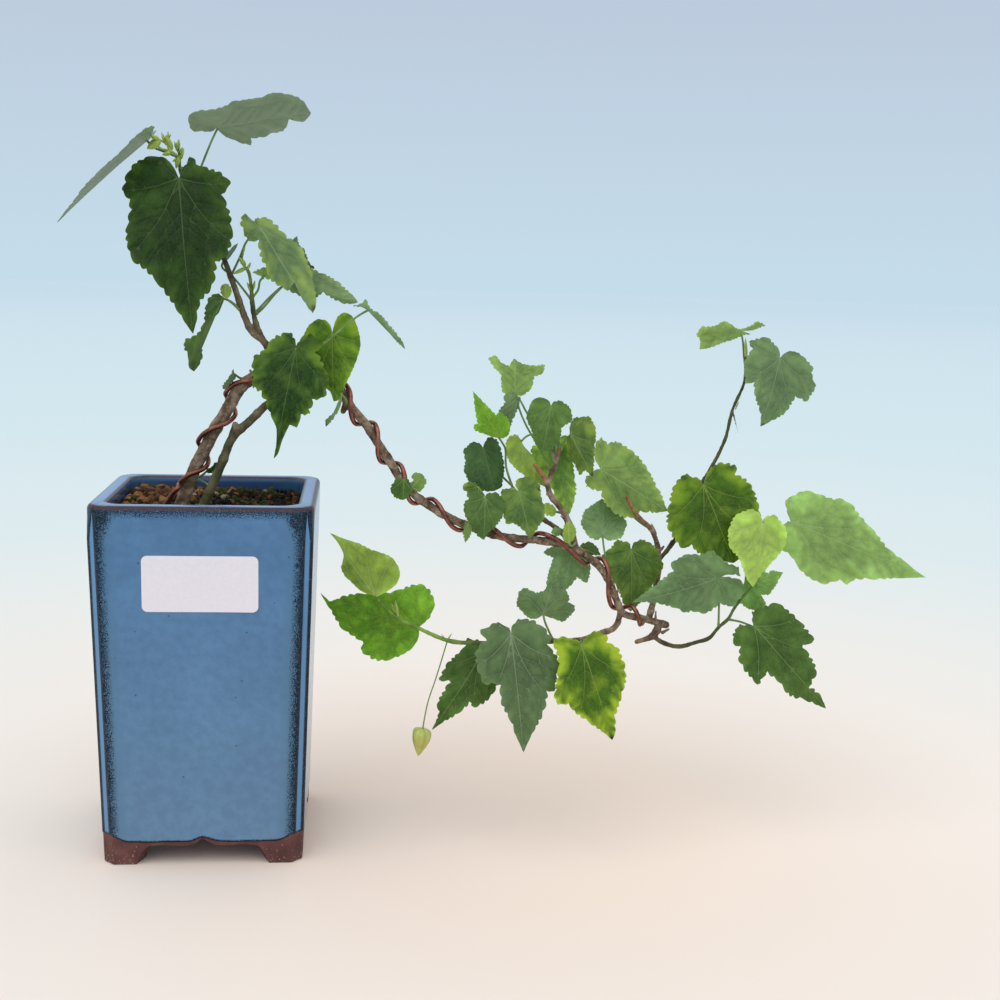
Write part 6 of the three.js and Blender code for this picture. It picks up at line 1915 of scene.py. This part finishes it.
for name, buds, stalks, replaced in (
    ("crown_leaflets", CROWN_BUDS, CROWN_STALKS, "crown_buds"),
    ("shoot_leaflets", SHOOT_BUDS, [], None),
):
    vertices, faces = [], []
    for route, half_width in buds:
        leaflet(route, half_width, vertices, faces)
    for route in stalks:
        path = smooth_line([seen(*p) for p in trace(route)], STALK_STEP)
        tube(path, [CROWN_STALK_RADIUS] * len(path), STALK_SIDES, vertices, faces)
    piece = build(name, vertices, faces, [young_skin], sharp=60)
    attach(piece, "root")
    if replaced:
        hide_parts(replaced)

# Flower bud. A closed calyx like a small ribbed lantern, five papery sides drawn to a point, hanging by a
# thread of a stalk. Pale yellow-green, with the orange petals showing warm through it.
BUD_STALK = "447 642 -1, 444 652 -1, 436 678 -2, 428 702 -3, 423.5 724 -3, 422 735 -3"
BUD_NECK = "422 730 -3"
BUD_LEAN = 0.12
BUD_RADIUS = 4.4
BUD_RIBS = 5
BUD_TURNS = 60
BUD_STEP = 0.45
BUD_STALK_RADIUS = 0.0003
BUD_STALK_STEP = 0.0009
CREST_HEIGHT = 0.13
CRUMPLE = 0.02
PETALS_AT, PETALS_WIDTH = -6.2, 2.6
# Its outline from the neck down: the radius as a share of the widest, and the height over the neck in mm.
BUD_PROFILE = [(0, 0.6), (0.3, 0.75), (0.62, 0.5), (0.85, 0.0), (1, -1.4), (1.0, -3.2), (0.9, -5.4)]
BUD_PROFILE += [(0.68, -7.8), (0.4, -10.2), (0.16, -12), (0, -13)]

outline = smooth_line([Vector((r * BUD_RADIUS, z, 0)) for r, z in BUD_PROFILE], BUD_STEP)
neck = seen(*trace(BUD_NECK)[0])
tilt = Matrix.Rotation(BUD_LEAN, 3, "Y")
vertices, faces, warmth, rib_line = [], [], [], []
for p in outline[1:-1]:
    for k in range(BUD_TURNS):
        turn = 2 * math.pi * k / BUD_TURNS
        crest = abs(math.cos(BUD_RIBS * turn / 2)) ** 6
        crumple = CRUMPLE * noise.noise(Vector((math.cos(turn), math.sin(turn), p.y)) * 1.5)
        ring = p.x * (0.93 + CREST_HEIGHT * crest + crumple)
        local = Vector((ring * math.cos(turn), ring * math.sin(turn), p.y))
        vertices.append(neck + tilt @ local / MM_PER_M)
        warmth.append(math.exp(-(((p.y - PETALS_AT) / PETALS_WIDTH) ** 2)))
        rib_line.append(crest)
rings = len(outline) - 2
for i in range(rings - 1):
    for k in range(BUD_TURNS):
        a, b = i * BUD_TURNS + k, i * BUD_TURNS + (k + 1) % BUD_TURNS
        faces.append((b, a, a + BUD_TURNS, b + BUD_TURNS))
faces.append(tuple(range(BUD_TURNS)))
faces.append(tuple((rings - 1) * BUD_TURNS + k for k in range(BUD_TURNS - 1, -1, -1)))
calyx_faces, calyx_points = len(faces), len(vertices)
path = smooth_line([seen(*p) for p in trace(BUD_STALK)], BUD_STALK_STEP)
tube(path, [BUD_STALK_RADIUS] * len(path), STALK_SIDES, vertices, faces)

# Calyx: thin papery tissue, pale with greener ribs, warm orange in the middle where the petals lie.
calyx, tree, surface, out = new_material("pale_calyx")
place = node(tree, "TexCoord", out="Object")
warm = node(tree, "Attribute", {"attribute_name": "warmth"}, None, "Fac")
rib = node(tree, "Attribute", {"attribute_name": "rib"}, None, "Fac")
patch = node(tree, "TexNoise", None, {"Vector": place, "Scale": 500, "Detail": 3})
stops = [(0.3, "#ccd46a"), (0.6, "#dce08a")]
tone = node(tree, "ValToRGB", {"stops": stops}, {0: patch})
warm_part = node(tree, "Math", TIMES, {0: warm, 1: 0.3})
tone = node(tree, "Mix", COLOURS, {0: warm_part, 6: tone, 7: linear("#d6a458")}, 2)
rib_part = node(tree, "MapRange", None, {0: rib, 1: 0.3, 2: 1.0, 3: 0.0, 4: 0.4})
tone = node(tree, "Mix", COLOURS, {0: rib_part, 6: tone, 7: linear("#8fa244")}, 2)
tree.links.new(tone, surface.inputs["Base Color"])
surface.inputs["Roughness"].default_value = 0.5
surface.inputs["Sheen Weight"].default_value = 0.1
through = node(tree, "BsdfTranslucent", None, {"Color": tone})
both = node(tree, "MixShader", None, {0: 0.35, 1: surface.outputs[0], 2: through})
tree.links.new(both, out.inputs["Surface"])

marks = {
    "warmth": warmth + [0.0] * (len(vertices) - calyx_points),
    "rib": rib_line + [1.0] * (len(vertices) - calyx_points),
}
indices = [0] * calyx_faces + [1] * (len(faces) - calyx_faces)
bud = build("hanging_flower_bud", vertices, faces, [calyx, stalk_skin], indices, marks, sharp=60)
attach(bud, "root")
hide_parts("flower_bud")

# Studio. A wide painted floor that turns from cream near the pot to pale blue far off, a sky of the same
# blue, and soft daylight from above and from the front left.
FLOOR_RADIUS = 14
FLOOR_SIDES = 96
# The square root of the floor's distance in m, over this, is the place among its colours.
SWEEP_SPREAD = 3.4

floor_mesh = bpy.data.meshes.new("studio_floor")
disc = bmesh.new()
bmesh.ops.create_circle(disc, cap_ends=True, radius=FLOOR_RADIUS, segments=FLOOR_SIDES)
disc.to_mesh(floor_mesh)
disc.free()
floor = bpy.data.objects.new("studio_floor", floor_mesh)
bpy.context.scene.collection.objects.link(floor)
sweep, tree, surface, _ = new_material("painted_studio_sweep")
place = node(tree, "TexCoord", out="Object")
away = node(tree, "VectorMath", {"operation": "LENGTH"}, {0: place}, "Value")
squash = node(tree, "Math", {"operation": "POWER"}, {0: away, 1: 0.5})
squash = node(tree, "Math", {"operation": "DIVIDE"}, {0: squash, 1: SWEEP_SPREAD})
stops = [(0.09, "#f5e3d5"), (0.16, "#f1e9e1"), (0.27, "#d9e4e5"), (0.4, "#cfe0e5"), (0.93, "#c3d6e1")]
tone = node(tree, "ValToRGB", {"stops": stops}, {0: squash})
tree.links.new(tone, surface.inputs["Base Color"])
surface.inputs["Roughness"].default_value = 0.95
surface.inputs["Specular IOR Level"].default_value = 0.0
floor_mesh.materials.append(sweep)

world = bpy.data.worlds.new("pale_sky")
bpy.context.scene.world = world
world.use_nodes = True
tree = world.node_tree
tree.nodes.clear()
place = node(tree, "TexCoord", out="Generated")
up = node(tree, "SeparateXYZ", None, {0: place}, "Z")
stops = [(0.0, "#c5dcea"), (0.06, "#c2d6e6"), (0.17, "#bccbdd"), (0.3, "#c9d2dc"), (0.65, "#f3f4f5")]
sky = node(tree, "ValToRGB", {"stops": stops}, {0: up})
glow = node(tree, "Background", None, {"Color": sky, "Strength": 1.0})
out = tree.nodes.new("ShaderNodeOutputWorld")
tree.links.new(glow, out.inputs["Surface"])

for name, energy, softness, aim in (
    ("key_daylight", 0.75, 65, (0.4, 0.5, -1.0)),
    ("fill_daylight", 0.25, 80, (-0.5, 0.9, -0.45)),
):
    lamp_data = bpy.data.lights.new(name, "SUN")
    lamp_data.energy = energy
    lamp_data.angle = math.radians(softness)
    lamp = bpy.data.objects.new(name, lamp_data)
    lamp.rotation_euler = Vector(aim).to_track_quat("-Z", "Y").to_euler()
    bpy.context.scene.collection.objects.link(lamp)

bpy.context.scene.view_settings.view_transform = "Standard"
